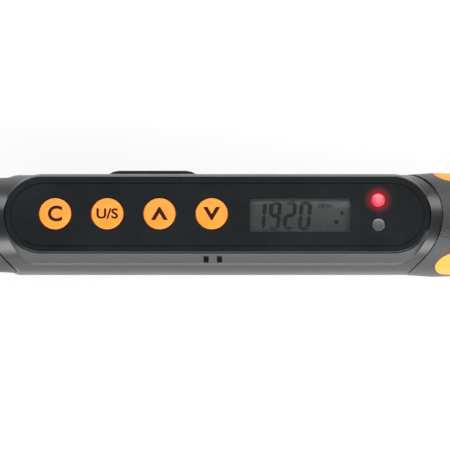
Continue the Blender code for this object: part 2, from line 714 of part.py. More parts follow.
def gauge_slot_x():
    return CAVITY_LEFT + 7 * MM


def battery_slot_x():
    return CAVITY_RIGHT - 7 * MM


def make_cables():
    lift = AXIS_Z + cable_height()
    under_board = AXIS_Z + BOARD_BOTTOM - GAP
    beam_end = BEAM_START + BEAM_LENGTH
    x = gauge_slot_x()
    route = [(beam_end - BEAM_COLLAR - 8 * MM, 0, lift), (beam_end, 0, lift), (x - 9 * MM, 0, lift)]
    route += [
        (x - 4.5 * MM, 0, lift + 0.2 * MM), (x - 2 * MM, 0, lift + 1.4 * MM), (x, 0, under_board - MM),
        (x + 0.4 * MM, 0, under_board),
    ]
    wire("gauge_cable", route, CABLE_RADIUS, "cable_sheath")
    x = battery_slot_x()
    route = [(cells_start() - contact_depth() - GAP, 0, AXIS_Z + 4 * MM), (x + 24 * MM, 0, AXIS_Z + 5 * MM)]
    route += [
        (x + 9 * MM, 0, lift - 0.4 * MM), (x + 4.5 * MM, 0, lift + 0.2 * MM),
        (x + 2 * MM, 0, lift + 1.4 * MM),
    ]
    route += [(x, 0, under_board - MM), (x - 0.4 * MM, 0, under_board)]
    wire("battery_cable", route, CABLE_RADIUS, "cable_sheath")


def make_collar():
    seat = TUBE_RADIUS + GAP
    end = HOUSING_LEFT + SADDLE_RADIUS
    middle = HOUSING_LEFT + 3 * MM
    profile = (
        (COLLAR_START, COLLAR_FRONT_RADIUS - 0.8 * MM), (COLLAR_START + 0.8 * MM, COLLAR_FRONT_RADIUS),
        (COLLAR_START + 5 * MM, COLLAR_FRONT_RADIUS + 0.2 * MM),
        (COLLAR_START + 16 * MM, COLLAR_FRONT_RADIUS + 1.6 * MM),
        (COLLAR_START + 28 * MM, COLLAR_REAR_RADIUS - 0.9 * MM), (middle, COLLAR_REAR_RADIUS),
        (end, BODY_RADIUS), (end, seat), (COLLAR_START, seat),
    )
    collar = turned_x("neck_collar", profile, TUBE_SIDES, "black_plastic", hollow=True)
    cutter = prism(
        "collar_saddle", saddle_outline(GAP), AXIS_Z - 2 * BODY_RADIUS, AXIS_Z + 2 * BODY_RADIUS,
        "black_plastic",
    )
    boolean(collar, cutter)


def port_recess(name, grow):
    half = FLAP_LENGTH / 2 + grow
    spread = FLAP_ANGLE + math.degrees(grow / BODY_RADIUS)
    inner = BODY_RADIUS - FLAP_SEAT
    x = FACE_X + PORT_X
    stations = [(place, inner, BODY_RADIUS + 4 * MM, -spread, spread) for place in (x - half, x + half)]
    return patch(name, stations, "black_plastic")


def housing_screw_places():
    for x in (HOUSING_LEFT + SCREW_INSET, HOUSING_RIGHT - SCREW_INSET - 0.8 * MM):
        for y in (-SCREW_Y, SCREW_Y):
            yield x, y


def screw_seat():
    """Height of the screw heads' lower face, where the outer edge of a head meets the round body."""
    return AXIS_Z - math.sqrt(BODY_RADIUS**2 - (SCREW_Y + SCREW_HEAD) ** 2)


def make_housing_half(name, upper):
    far = 3 * BODY_RADIUS
    ends = (HOUSING_LEFT - BODY_RADIUS, HOUSING_RIGHT + BODY_RADIUS)
    half = turned_x(name, ((ends[0], BODY_RADIUS), (ends[1], BODY_RADIUS)), BODY_SIDES, "black_plastic")

    def shape_name(word):
        return f"{name}_{word}"

    boolean(
        half, prism(shape_name("saddle"), saddle_outline(), AXIS_Z - far, AXIS_Z + far, "black_plastic"),
        "INTERSECT",
    )
    if upper:
        levels = (
            (0.3 * BODY_RADIUS, BOSS_BASE_HALF), (BOSS_SHOULDER, BOSS_BASE_HALF),
            (PLATE_TOP - 0.3 * MM, PLATE_HALF + BEZEL_RIM + 0.12 * MM), (PLATE_TOP, PLATE_HALF + BEZEL_RIM),
        )
        rings = [[(x, y, AXIS_Z + z) for x, y in face_slot(width)] for z, width in levels]
        boolean(half, loft(shape_name("boss"), rings, "black_plastic"), "UNION")
        floor = AXIS_Z + PLATE_BOTTOM - GAP
        recess = prism(
            shape_name("plate_recess"), face_slot(PLATE_HALF + 0.15 * MM), floor, AXIS_Z + far,
            "black_plastic",
        )
        boolean(half, recess)
    bore = TUBE_RADIUS + GAP
    inside = (
        (ends[0] - MM, bore), (CAVITY_LEFT, bore), (CAVITY_LEFT, CAVITY_RADIUS),
        (CAVITY_RIGHT, CAVITY_RADIUS), (CAVITY_RIGHT, bore), (ends[1] + MM, bore),
    )
    boolean(half, turned_x(shape_name("inside"), inside, TUBE_SIDES, "black_plastic"))
    if upper:
        window = prism(
            shape_name("window"), face_slot(WINDOW_HALF), AXIS_Z + BOARD_BOTTOM - GAP, AXIS_Z + far,
            "black_plastic",
        )
        boolean(half, window)
        make_sound_holes(half)
    boolean(half, port_recess(shape_name("port_recess"), GAP + 0.1 * MM))
    port = FACE_X + PORT_X
    reach = PORT_SIZE[0] / 2 + GAP
    port_low = (port - reach, TUBE_RADIUS, AXIS_Z - PORT_SIZE[2] / 2 - GAP)
    port_high = (port + reach, far, AXIS_Z + PORT_SIZE[2] / 2 + GAP)
    boolean(half, box(shape_name("port_opening"), port_low, port_high, "black_plastic"))
    seat = screw_seat() + SCREW_HEAD_HEIGHT
    for i, place in enumerate(housing_screw_places()):
        wide, slim = SCREW_HEAD + GAP, SCREW_RADIUS + GAP
        step, tip = seat + GAP, seat + SCREW_LENGTH + GAP
        bore = ((AXIS_Z - far, wide), (step, wide), (step, slim), (tip, slim))
        boolean(
            half, turned_z(shape_name(f"screw_bore_{i + 1}"), bore, SMALL_SIDES, "black_plastic", place)
        )
    cut_low, cut_high = (AXIS_Z - far, AXIS_Z + GAP / 2) if upper else (AXIS_Z - GAP / 2, AXIS_Z + far)
    low, high = (ends[0] - far, -far, cut_low), (ends[1] + far, far, cut_high)
    boolean(half, box(shape_name("split"), low, high, "black_plastic"))


def make_sound_holes(shell):
    """Two square holes through the sloping side of the bezel."""
    slope = Vector((0, BOSS_BASE_HALF - PLATE_HALF, -(PLATE_TOP - BOSS_SHOULDER))).normalized()
    outward = Vector((0, -slope.z, slope.y))
    surface = Vector((0, (BOSS_BASE_HALF + PLATE_HALF) / 2, AXIS_Z + (PLATE_TOP + BOSS_SHOULDER) / 2))
    surface.y, outward.y = -surface.y, -abs(outward.y)
    for i, place in enumerate(SOUND_HOLES):
        middle = surface + Vector((FACE_X + place, 0, 0))
        start, end = middle + 3 * MM * outward, middle - 4.5 * MM * outward
        boolean(
            shell, rod(f"sound_hole_{i + 1}", start, end, SOUND_HOLE * math.sqrt(0.5), 4, "black_plastic")
        )


def make_housing_screws():
    seat = screw_seat() + SCREW_HEAD_HEIGHT
    for i, place in enumerate(housing_screw_places()):
        low = seat - SCREW_HEAD_HEIGHT
        profile = (
            (low, 0), (low, SCREW_HEAD - 0.4 * MM), (low + 0.4 * MM, SCREW_HEAD), (seat, SCREW_HEAD),
            (seat, SCREW_RADIUS), (seat + SCREW_LENGTH, SCREW_RADIUS), (seat + SCREW_LENGTH, 0),
        )
        screw = turned_z(f"housing_screw_{i + 1}", profile, SMALL_SIDES, "black_steel", place)
        socket = turned_z(
            f"screw_socket_{i + 1}", ((low - MM, MM), (low + 0.9 * MM, MM)), 6, "black_steel", place
        )
        boolean(screw, socket)


def key_places():
    for i, name in enumerate(KEY_NAMES):
        yield name, (FACE_X + KEY_FIRST + i * KEY_PITCH, KEY_SHIFT)


def make_face():
    low, high = AXIS_Z + PLATE_BOTTOM, AXIS_Z + PLATE_TOP
    plate = prism("face_plate", face_slot(PLATE_HALF), low, high, "gloss_plate")
    for name, place in key_places():
        hole = ((low - MM, KEY_RADIUS + GAP), (high + MM, KEY_RADIUS + GAP))
        boolean(plate, turned_z(f"{name}_hole", hole, KEY_SIDES, "gloss_plate", place))
    half_x, half_y = LCD_VIEW[0] / 2 + 0.2 * MM, LCD_VIEW[1] / 2 + 0.2 * MM
    x = FACE_X + LCD_CENTRE
    boolean(
        plate,
        box("lcd_opening", (x - half_x, -half_y, low - MM), (x + half_x, half_y, high + MM), "gloss_plate"),
    )
    for name, y in LED_ROWS:
        hole = ((low - MM, LED_RADIUS + 0.2 * MM), (high + MM, LED_RADIUS + 0.2 * MM))
        boolean(plate, turned_z(f"{name}_hole", hole, PIN_SIDES, "gloss_plate", (FACE_X + LED_X, y)))


def make_display():
    x = FACE_X + LCD_CENTRE
    half_x, half_y = LCD_VIEW[0] / 2, LCD_VIEW[1] / 2
    high = AXIS_Z + PLATE_TOP
    box(
        "lcd_lens", (x - half_x, -half_y, high - 0.9 * MM), (x + half_x, half_y, high - 0.05 * MM),
        "clear_plastic",
    )
    reach_x, reach_y = half_x + LCD_BORDER, half_y + LCD_BORDER
    low = AXIS_Z + BOARD_TOP + GAP
    box(
        "lcd_module", (x - reach_x, -reach_y, low), (x + reach_x, reach_y, AXIS_Z + PLATE_BOTTOM - GAP),
        "lcd_glass",
    )
    for name, y in LED_ROWS:
        top = AXIS_Z + PLATE_TOP
        profile = (
            (low, 0), (low, LED_RADIUS), (top - 0.1 * MM, LED_RADIUS),
            (top + 0.1 * MM, LED_RADIUS - 0.4 * MM), (top + 0.15 * MM, 0),
        )
        turned_z(
            name, profile, PIN_SIDES, f"{name.split('_')[1]}_lens".replace("green", "grey"),
            (FACE_X + LED_X, y),
        )
    board = WINDOW_HALF - GAP
    prism("circuit_board", face_slot(board, 10), AXIS_Z + BOARD_BOTTOM, AXIS_Z + BOARD_TOP, "circuit_green")


def make_keys():
    mat_low = AXIS_Z + BOARD_TOP + GAP
    mat_high = mat_low + 0.5 * MM
    half_y = WINDOW_HALF - 3 * MM
    first, last = FACE_X + KEY_FIRST - 8 * MM, FACE_X + KEY_FIRST + 3 * KEY_PITCH + 7 * MM
    box("key_mat", (first, -half_y, mat_low), (last, half_y, mat_high), "grey_rubber")
    flange_top = AXIS_Z + PLATE_BOTTOM - GAP
    flange_low = flange_top - 0.4 * MM
    crown = AXIS_Z + PLATE_TOP + KEY_PROUD
    for name, place in key_places():
        wide = KEY_RADIUS + KEY_FLANGE
        profile = (
            (flange_low, 0), (flange_low, wide), (flange_top, wide), (flange_top, KEY_RADIUS),
            (crown - 0.3 * MM, KEY_RADIUS), (crown, KEY_RADIUS - 0.3 * MM), (crown, 0),
        )
        turned_z(name, profile, KEY_SIDES, "orange_plastic", place, (*place, crown))


def make_buzzer():
    lean = math.radians(35)
    outward = Vector((0, -math.cos(lean), math.sin(lean)))
    centre = Vector((FACE_X + sum(SOUND_HOLES) / 2, 0, AXIS_Z))
    inner = TUBE_RADIUS + 1.1 * MM
    rod(
        "buzzer", centre + inner * outward, centre + (inner + BUZZER_THICKNESS) * outward, BUZZER_RADIUS,
        PIN_SIDES, "grey_rubber",
    )


def make_port():
    x = FACE_X + PORT_X
    long, deep, tall = PORT_SIZE
    outer = BODY_RADIUS - FLAP_SEAT - 2 * GAP
    inner = TUBE_RADIUS + 2 * GAP
    socket = box(
        "usb_socket", (x - long / 2, inner, AXIS_Z - tall / 2), (x + long / 2, outer, AXIS_Z + tall / 2),
        "spring_steel",
    )
    wall = 0.6 * MM
    mouth_low = (x - long / 2 + wall, max(inner + MM, outer - deep), AXIS_Z - tall / 2 + wall)
    boolean(
        socket,
        box(
            "usb_mouth", mouth_low, (x + long / 2 - wall, outer + MM, AXIS_Z + tall / 2 - wall),
            "spring_steel",
        ),
    )
    seat = BODY_RADIUS - FLAP_SEAT + GAP
    rim = BODY_RADIUS + 0.15 * MM
    crest = BODY_RADIUS + FLAP_RISE
    half, flat = FLAP_LENGTH / 2, FLAP_FLAT / 2
    stations = []
    for place, outer_radius in (
        (-half, rim), (-(half + flat) / 2, (rim + crest) / 2 + 0.3 * MM), (-flat, crest)
    ):
        stations.append((place, outer_radius))
    stations += [(-place, radius) for place, radius in reversed(stations)]
    rows = [(x + place, seat, radius, -FLAP_ANGLE, FLAP_ANGLE) for place, radius in stations]
    lean = math.radians(FLAP_ANGLE)
    hinge = (x, crest * math.cos(lean), AXIS_Z - crest * math.sin(lean))
    patch("port_cover", rows, "black_rubber", hinge)


def grip_radius(x):
    share = (x - GRIP_START) / (GRIP_END - GRIP_START)
    for (first, low), (second, high) in zip(GRIP_STATIONS, GRIP_STATIONS[1:]):
        if share <= second:
            return BODY_RADIUS + (low + (high - low) * (share - first) / (second - first)) * MM
    return BODY_RADIUS + GRIP_STATIONS[-1][1] * MM


def inlay_rows(grow, depth, proud):
    """Rows of a drop-shaped inlay: a round tip, a long parallel stretch and a narrowing tail."""
    start, end = INLAY_START - grow, INLAY_END + grow
    count = 14
    rows = []
    for i in range(count + 1):
        x = start + (end - start) * (1 - math.cos(math.pi * i / count)) / 2
        front = min(1.0, math.sqrt(max(0.0, (x - start) / INLAY_TIP)))
        back = min(1.0, math.sqrt(max(0.0, (end - x) / (2.5 * INLAY_TIP))))
        half = 2.0 + (INLAY_HALF_ANGLE - 2.0) * min(front, back) + math.degrees(grow / BODY_RADIUS)
        inside = min(max(x, GRIP_START), GRIP_END)
        rows.append(
            (
                x, grip_radius(inside) - depth, grip_radius(inside) + proud, INLAY_TILT - half,
                INLAY_TILT + half,
            )
        )
    return rows


def make_grip():
    core_start = HOUSING_RIGHT + GAP
    seat = TUBE_RADIUS + GAP
    outer = GRIP_INNER - GAP
    profile = (
        (core_start, outer), (GRIP_END - 2 * GAP, outer), (GRIP_END - 2 * GAP, seat), (core_start, seat)
    )
    turned_x("grip_core", profile, TUBE_SIDES, "black_plastic", hollow=True)
    length = GRIP_END - GRIP_START
    profile = [(GRIP_START + share * length, BODY_RADIUS + rise * MM) for share, rise in GRIP_STATIONS]
    profile += [(GRIP_END, GRIP_INNER), (GRIP_START, GRIP_INNER)]
    sleeve = turned_x("grip_sleeve", profile, TUBE_SIDES, "black_rubber", hollow=True)
    saddle = prism(
        "grip_saddle", saddle_outline(GAP), AXIS_Z - 2 * BODY_RADIUS, AXIS_Z + 2 * BODY_RADIUS,
        "black_rubber",
    )
    boolean(sleeve, saddle)
    for name, side in (("grip_inlay_left", 1), ("grip_inlay_right", -1)):
        patch(name, inlay_rows(0.0, INLAY_DEPTH, INLAY_PROUD), "orange_rubber", side=side)
        cutter = patch(
            f"{name}_recess", inlay_rows(GAP, INLAY_DEPTH + GAP, 3 * MM), "black_rubber", side=side
        )
        boolean(sleeve, cutter)


def plug_start():
    return TUBE_END + 2 * MM - CAP_PLUG


def cells_start():
    return plug_start() - 4 * MM - 2 * CELL_LENGTH - GAP


def contact_depth():
    return 2.5 * MM


def make_cells():
    start = cells_start()
    for i in range(2):
        low = start + i * (CELL_LENGTH + GAP)
        high = low + CELL_LENGTH
        profile = (
            (low, 0), (low, CELL_NUB * 1.8), (low + CELL_NUB, CELL_NUB * 1.8),
            (low + CELL_NUB, CELL_RADIUS - 0.6 * MM),
            (low + CELL_NUB + 0.6 * MM, CELL_RADIUS), (high - 0.6 * MM, CELL_RADIUS),
            (high, CELL_RADIUS - 0.6 * MM), (high, 0),
        )
        turned_x(f"cell_{i + 1}", profile, PIN_SIDES, "cell_wrap")
    inner = CELL_RADIUS + GAP
    outer = TUBE_INNER - GAP
    ends = (start, start + 2 * CELL_LENGTH + GAP)
    profile = ((ends[0], outer), (ends[1], outer), (ends[1], inner), (ends[0], inner))
    turned_x("cell_holder", profile, PIN_SIDES, "black_plastic", hollow=True)
    face = start - GAP
    back = start - contact_depth()
    profile = (
        (back, 0), (back, outer), (back + 1.2 * MM, outer), (back + 1.2 * MM, 3 * MM), (face, 2.4 * MM),
        (face, 0),
    )
    turned_x("front_contact", profile, PIN_SIDES, "brass")
    plate = plug_start() - GAP
    profile = ((plate - 0.7 * MM, 0), (plate - 0.7 * MM, CELL_RADIUS), (plate, CELL_RADIUS), (plate, 0))
    turned_x("rear_contact", profile, PIN_SIDES, "brass", (plate, 0, AXIS_Z))
    spring_low, spring_high = ends[1] + 2 * GAP + SPRING_WIRE, plate - 0.7 * MM - GAP - SPRING_WIRE
    coil = helix_z(1.0, 0.0, 1.0, 3, 9)
    turns = [
        (
            spring_low + (spring_high - spring_low) * t, (2.4 + 3.0 * t) * MM * y,
            AXIS_Z + (2.4 + 3.0 * t) * MM * z,
        )
        for y, z, t in coil
    ]
    wire("cell_spring", turns, SPRING_WIRE, "spring_steel")


def make_cap():
    start = plug_start()
    shoulder = TUBE_END + 2 * MM
    end = shoulder + CAP_LENGTH
    crest = TUBE_INNER - GAP
    root = crest - CAP_THREAD
    profile = [(start, 0), (start, root)]
    pitch = (TUBE_END - start - 2 * MM) / CAP_RIDGES
    for i in range(CAP_RIDGES):
        foot = start + MM + i * pitch
        profile += [
            (foot, root), (foot + 0.3 * pitch, crest), (foot + 0.5 * pitch, crest),
            (foot + 0.8 * pitch, root),
        ]
    profile += [
        (shoulder, root), (shoulder, CAP_RADIUS - MM), (shoulder + MM, CAP_RADIUS),
        (shoulder + 0.55 * CAP_LENGTH, CAP_RADIUS - 0.4 * MM),
        (end - 5 * MM, CAP_RADIUS - 1.6 * MM), (end - 2 * MM, CAP_RADIUS - 3.6 * MM),
        (end - 0.5 * MM, CAP_RADIUS - 6.4 * MM),
        (end, CAP_RADIUS - 8.5 * MM), (end, 0),
    ]
    turned_x("end_cap", profile, TUBE_SIDES, "black_plastic", (shoulder, 0, AXIS_Z))
    inner = root + GAP
    middle = (TUBE_END + shoulder) / 2
    width, height = 0.6 * MM, 0.9 * MM
    centre = inner + height
    ring = [(middle + width * math.cos(a), centre + height * math.sin(a)) for a in angles(6)]
    turned_x("cap_seal", ring, HUB_SIDES, "grey_rubber", (shoulder, 0, AXIS_Z), hollow=True)


def main():
    clear_scene()
    make_finishes()
    make_head()
    make_head_cover()
    make_drive()
    make_release()
    make_reversing_parts()
    make_tube(make_beam())
    make_cables()
    make_collar()
    make_housing_half("housing_upper", True)
    make_housing_half("housing_lower", False)
    make_housing_screws()
    make_face()
    make_display()
    make_keys()
    make_buzzer()
    make_port()
    make_grip()
    make_cells()
    make_cap()


main()
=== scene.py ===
import math

import bpy
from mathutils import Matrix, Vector


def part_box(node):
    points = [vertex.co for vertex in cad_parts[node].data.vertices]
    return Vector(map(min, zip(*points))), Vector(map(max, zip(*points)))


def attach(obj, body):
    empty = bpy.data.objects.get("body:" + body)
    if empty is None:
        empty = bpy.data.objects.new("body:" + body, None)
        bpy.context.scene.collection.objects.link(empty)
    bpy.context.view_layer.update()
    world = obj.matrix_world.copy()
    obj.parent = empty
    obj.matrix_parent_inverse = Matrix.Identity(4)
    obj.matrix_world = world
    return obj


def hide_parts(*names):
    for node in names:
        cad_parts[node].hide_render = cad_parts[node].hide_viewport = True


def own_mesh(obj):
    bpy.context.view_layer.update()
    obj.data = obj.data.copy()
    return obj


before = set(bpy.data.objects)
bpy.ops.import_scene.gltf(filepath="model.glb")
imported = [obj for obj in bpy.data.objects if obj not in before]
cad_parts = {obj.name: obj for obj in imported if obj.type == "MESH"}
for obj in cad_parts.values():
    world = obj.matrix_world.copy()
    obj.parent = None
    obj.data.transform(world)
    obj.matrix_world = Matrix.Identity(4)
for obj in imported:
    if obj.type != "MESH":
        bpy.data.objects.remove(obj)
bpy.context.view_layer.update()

mm = 0.001


# places read from the frame
def boxOf(node):
    low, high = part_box(node)
    return Vector(low), Vector(high)


def middleOf(node):
    low, high = boxOf(node)
    return (low + high) / 2


tubeLow, tubeHigh = boxOf("core_tube")
plateLow, plateHigh = boxOf("face_plate")
shellLow, shellHigh = boxOf("housing_upper")
gripHigh = boxOf("grip_sleeve")[1]
headLow, headHigh = boxOf("head_housing")
axisZ = (tubeLow.z + tubeHigh.z) / 2
tubeRadius = (tubeHigh.z - tubeLow.z) / 2
faceX = (plateLow.x + plateHigh.x) / 2
plateHalf = (plateHigh.y - plateLow.y) / 2
faceStraight = (plateHigh.x - plateLow.x) / 2 - plateHalf
bodyRadius = (shellHigh.y - shellLow.y) / 2
saddleRadius = bodyRadius + 1.6 * mm
axisPoint = Vector((0, 0, axisZ))
print("frame read, axis at", round(axisZ / mm, 2), "mm")


# selection and small modelling helpers
def deselectAll():
    if bpy.context.mode != "OBJECT":
        bpy.ops.object.mode_set(mode="OBJECT")
    bpy.ops.object.select_all(action="DESELECT")


def activate(piece):
    deselectAll()
    piece.select_set(True)
    bpy.context.view_layer.objects.active = piece


def placed(name):
    piece = bpy.context.active_object
    piece.name = name
    piece.data.name = name
    activate(piece)
    bpy.ops.object.transform_apply(location=True, rotation=True, scale=True)
    return piece


def editAll(piece):
    activate(piece)
    bpy.ops.object.mode_set(mode="EDIT")
    bpy.ops.mesh.select_mode(type="VERT")
    bpy.ops.mesh.select_all(action="SELECT")


def leaveEdit():
    bpy.ops.object.mode_set(mode="OBJECT")


def closeMesh():
    bpy.ops.mesh.select_all(action="SELECT")
    bpy.ops.mesh.normals_make_consistent(inside=False)
    leaveEdit()


def selectWhere(piece, kind, test):
    # kind is faces, edges or verts, test reads the centre and the normal
    bpy.ops.object.mode_set(mode="EDIT")
    bpy.ops.mesh.select_mode(type={"faces": "FACE", "edges": "EDGE", "verts": "VERT"}[kind])
    bpy.ops.mesh.select_all(action="DESELECT")
    bpy.ops.object.mode_set(mode="OBJECT")
    mesh = piece.data
    if kind == "faces":
        for face in mesh.polygons:
            face.select = test(face.center, face.normal)
    elif kind == "verts":
        for vert in mesh.vertices:
            vert.select = test(vert.co, vert.normal)
    else:
        for edge in mesh.edges:
            a, b = (mesh.vertices[i].co for i in edge.vertices)
            edge.select = test((a + b) / 2, (b - a).normalized())
    bpy.ops.object.mode_set(mode="EDIT")


def applyModifier(piece, kind, **settings):
    activate(piece)
    modifier = piece.modifiers.new(kind.lower(), kind)
    for key, value in settings.items():
        setattr(modifier, key, value)
    bpy.ops.object.modifier_apply(modifier=modifier.name)


def carve(piece, tool, operation="DIFFERENCE"):
    applyModifier(piece, "BOOLEAN", object=tool, operation=operation, solver="MANIFOLD")
    bpy.data.objects.remove(tool, do_unlink=True)


def smooth(piece, degrees=32):
    activate(piece)
    bpy.ops.object.shade_smooth_by_angle(angle=math.radians(degrees))


def softenEdges(piece, width, segments=2, degrees=35):
    applyModifier(
        piece, "BEVEL", width=width, segments=segments, limit_method="ANGLE",
        angle_limit=math.radians(degrees), miter_outer="MITER_ARC", use_clamp_overlap=True,
    )


directions = {
    "X": (Vector((1, 0, 0)), Vector((0, 0, 1))),
    "Y": (Vector((0, 1, 0)), Vector((0, 0, 1))),
    "Z": (Vector((0, 0, 1)), Vector((1, 0, 0))),
}


def turnedPiece(name, profile, axis="X", centre=axisPoint, steps=96):
    # the profile's points are (along the axis, out from it), drawn vertex by vertex and spun
    along, out = directions[axis]
    points = [centre + along * place + out * radius for place, radius in profile]
    deselectAll()
    bpy.ops.mesh.primitive_plane_add(size=mm, location=points[0])
    piece = placed(name)
    editAll(piece)
    bpy.ops.mesh.merge(type="CENTER")
    for here, there in zip(points, points[1:]):
        bpy.ops.mesh.extrude_region_move(TRANSFORM_OT_translate={"value": there - here})
    bpy.ops.mesh.select_all(action="SELECT")
    bpy.ops.mesh.spin(steps=steps, angle=2 * math.pi, center=centre, axis=along)
    bpy.ops.mesh.select_all(action="SELECT")
    bpy.ops.mesh.remove_doubles(threshold=0.000002)
    bpy.ops.mesh.normals_make_consistent(inside=False)
    leaveEdit()
    return piece


def ringProfile(profile):
    return list(profile) + [profile[0]]  # closes the outline of a hollow piece


def block(name, low, high):
    low, high = Vector(low), Vector(high)
    deselectAll()
    bpy.ops.mesh.primitive_cube_add(size=1, location=(low + high) / 2, scale=high - low)
    return placed(name)


def cylinderTool(name, radius, start, end, sides=48):
    start, end = Vector(start), Vector(end)
    turn = (end - start).to_track_quat("Z", "Y").to_euler()
    deselectAll()
    bpy.ops.mesh.primitive_cylinder_add(
        vertices=sides, radius=radius, depth=(end - start).length, location=(start + end) / 2, rotation=turn
    )
    return placed(name)


def post(name, radius, spot, low, high, sides=48):
    return cylinderTool(name, radius, (spot[0], spot[1], low), (spot[0], spot[1], high), sides)


def slotPiece(name, left, right, half, low, steps, sides=128):
    # a slot-shaped face, raised in steps of (inset, rise)
    centre = (left + right) / 2
    stretch = (right - left) / 2 - half
    deselectAll()
    bpy.ops.mesh.primitive_circle_add(
        vertices=sides, radius=half, fill_type="NGON", location=(centre, 0, low)
    )
    piece = placed(name)
    activate(piece)
    for side in (-1, 1):
        selectWhere(piece, "verts", lambda at, _: side * (at.x - centre) > 0.01 * mm)
        bpy.ops.transform.translate(value=(side * stretch, 0, 0))
        bpy.ops.object.mode_set(mode="OBJECT")
    bpy.ops.object.mode_set(mode="EDIT")
    bpy.ops.mesh.select_mode(type="FACE")
    bpy.ops.mesh.select_all(action="SELECT")
    bpy.ops.mesh.extrude_region_move(TRANSFORM_OT_translate={"value": (0, 0, steps[0][1])})
    for inset, rise in steps[1:]:
        if inset:
            bpy.ops.mesh.inset(thickness=inset, depth=rise, use_even_offset=True)
        else:
            bpy.ops.mesh.extrude_region_move(TRANSFORM_OT_translate={"value": (0, 0, rise)})
    closeMesh()
    return piece


def faceSlot(name, half, low, steps):
    reach = faceStraight + half
    return slotPiece(name, faceX - reach, faceX + reach, half, low, steps)


def saddleBlock(name, grow):
    tall = 4 * bodyRadius
    left, right = shellLow.x - grow, shellHigh.x + grow
    return slotPiece(name, left, right, saddleRadius + grow, axisZ - tall / 2, ((0, tall),))


def joined(name, pieces):
    deselectAll()
    for piece in pieces:
        piece.select_set(True)
    bpy.context.view_layer.objects.active = pieces[0]
    bpy.ops.object.join()
    return placed(name)


def textPiece(words, size, bold, thick, place=(0, 0, 0)):
    deselectAll()
    bpy.ops.object.text_add(location=place)
    text = bpy.context.active_object
    text.data.body = words
    text.data.size = size
    text.data.offset = bold
    text.data.extrude = thick / 2
    text.data.align_x = "CENTER"
    text.data.align_y = "CENTER"
    bpy.ops.object.convert(target="MESH")
    return bpy.context.active_object


def hullOf(name, tools):
    tool = joined(name, tools)
    editAll(tool)
    bpy.ops.mesh.convex_hull()
    leaveEdit()
    return tool


def ringedPiece(name, rings, sides=96):
    # ovals across the wrench, each (place, half width, half height), bridged from one to the next
    deselectAll()
    bpy.ops.mesh.primitive_circle_add(vertices=sides, radius=mm, location=axisPoint)
    piece = placed(name)
    editAll(piece)
    bpy.ops.mesh.delete(type="VERT")
    for place, wide, tall in rings:
        centre = axisPoint + Vector((place, 0, 0))
        bpy.ops.mesh.primitive_circle_add(
            vertices=sides, radius=1, location=centre, rotation=(0, math.pi / 2, 0)
        )
        bpy.ops.transform.resize(value=(1, wide, tall), center_override=centre)
    bpy.ops.mesh.select_all(action="SELECT")
    bpy.ops.mesh.bridge_edge_loops()
    bpy.ops.mesh.select_all(action="SELECT")
    bpy.ops.mesh.fill_holes(sides=0)
    closeMesh()
    return piece


def quarterTurn(steps, first=1):
    return [math.pi / 2 * i / steps for i in range(first, steps + 1)]


def roundedDisc(radius, low, high, rim, steps=6):
    # half the outline of a disc with rounded edges, ready to turn
    turns = quarterTurn(steps, 0)
    foot = [(low + rim * (1 - math.cos(a)), radius - rim * (1 - math.sin(a))) for a in turns]
    crown = [(high - rim * (1 - math.sin(a)), radius - rim * (1 - math.cos(a))) for a in turns]
    return [(low, 0)] + foot + crown + [(high, 0)]


def smoothProfile(points, count):
    # an even curve through (place, radius) points, eased between them
    profile = []
    for (x0, r0), (x1, r1) in zip(points, points[1:]):
        for i in range(count):
            share = i / count
            eased = share * share * (3 - 2 * share)
            profile.append((x0 + (x1 - x0) * share, r0 + (r1 - r0) * eased))
    return profile + [points[-1]]


# materials: one function adds a node with its settings and links
def toLinear(code):
    channels = [int(code[i:i + 2], 16) / 255 for i in (1, 3, 5)]
    return tuple(c / 12.92 if c <= 0.04045 else ((c + 0.055) / 1.055) ** 2.4 for c in channels) + (1.0,)


def linkInputs(tree, node, links):
    # a source is a socket, or a node whose first output is meant
    for key, source in links.items():
        socket = source.outputs[0] if hasattr(source, "outputs") else source
        tree.links.new(socket, node.inputs[key])


def addNode(tree, kind, settings=None, links=None, stops=()):
    node = tree.nodes.new("ShaderNode" + kind)
    for key, value in (settings or {}).items():
        if isinstance(key, str) and hasattr(node, key):
            setattr(node, key, value)
        else:
            node.inputs[key].default_value = value
    linkInputs(tree, node, links or {})
    for element, (position, colour) in zip(node.color_ramp.elements if stops else (), stops):
        element.position = position
        element.color = colour
    return node


def grey(value):
    return (value, value, value, 1.0)


def perMetre(size):
    return 1 / size  # a pattern's scale from the real size of its cells


def startMaterial(name, settings):
    made = bpy.data.materials.new(name)
    made.use_nodes = True
    tree = made.node_tree
    shader = tree.nodes["Principled BSDF"]
    for key, value in settings.items():
        shader.inputs[key].default_value = value
    coords = addNode(tree, "TexCoord").outputs["Object"]
    return made, tree, shader, coords


plainLook = {
    "shader": {}, "cloud": 3 * mm, "grain": 0.5 * mm, "speck": 0.1, "relief": 0.1, "depth": 0.03 * mm
}


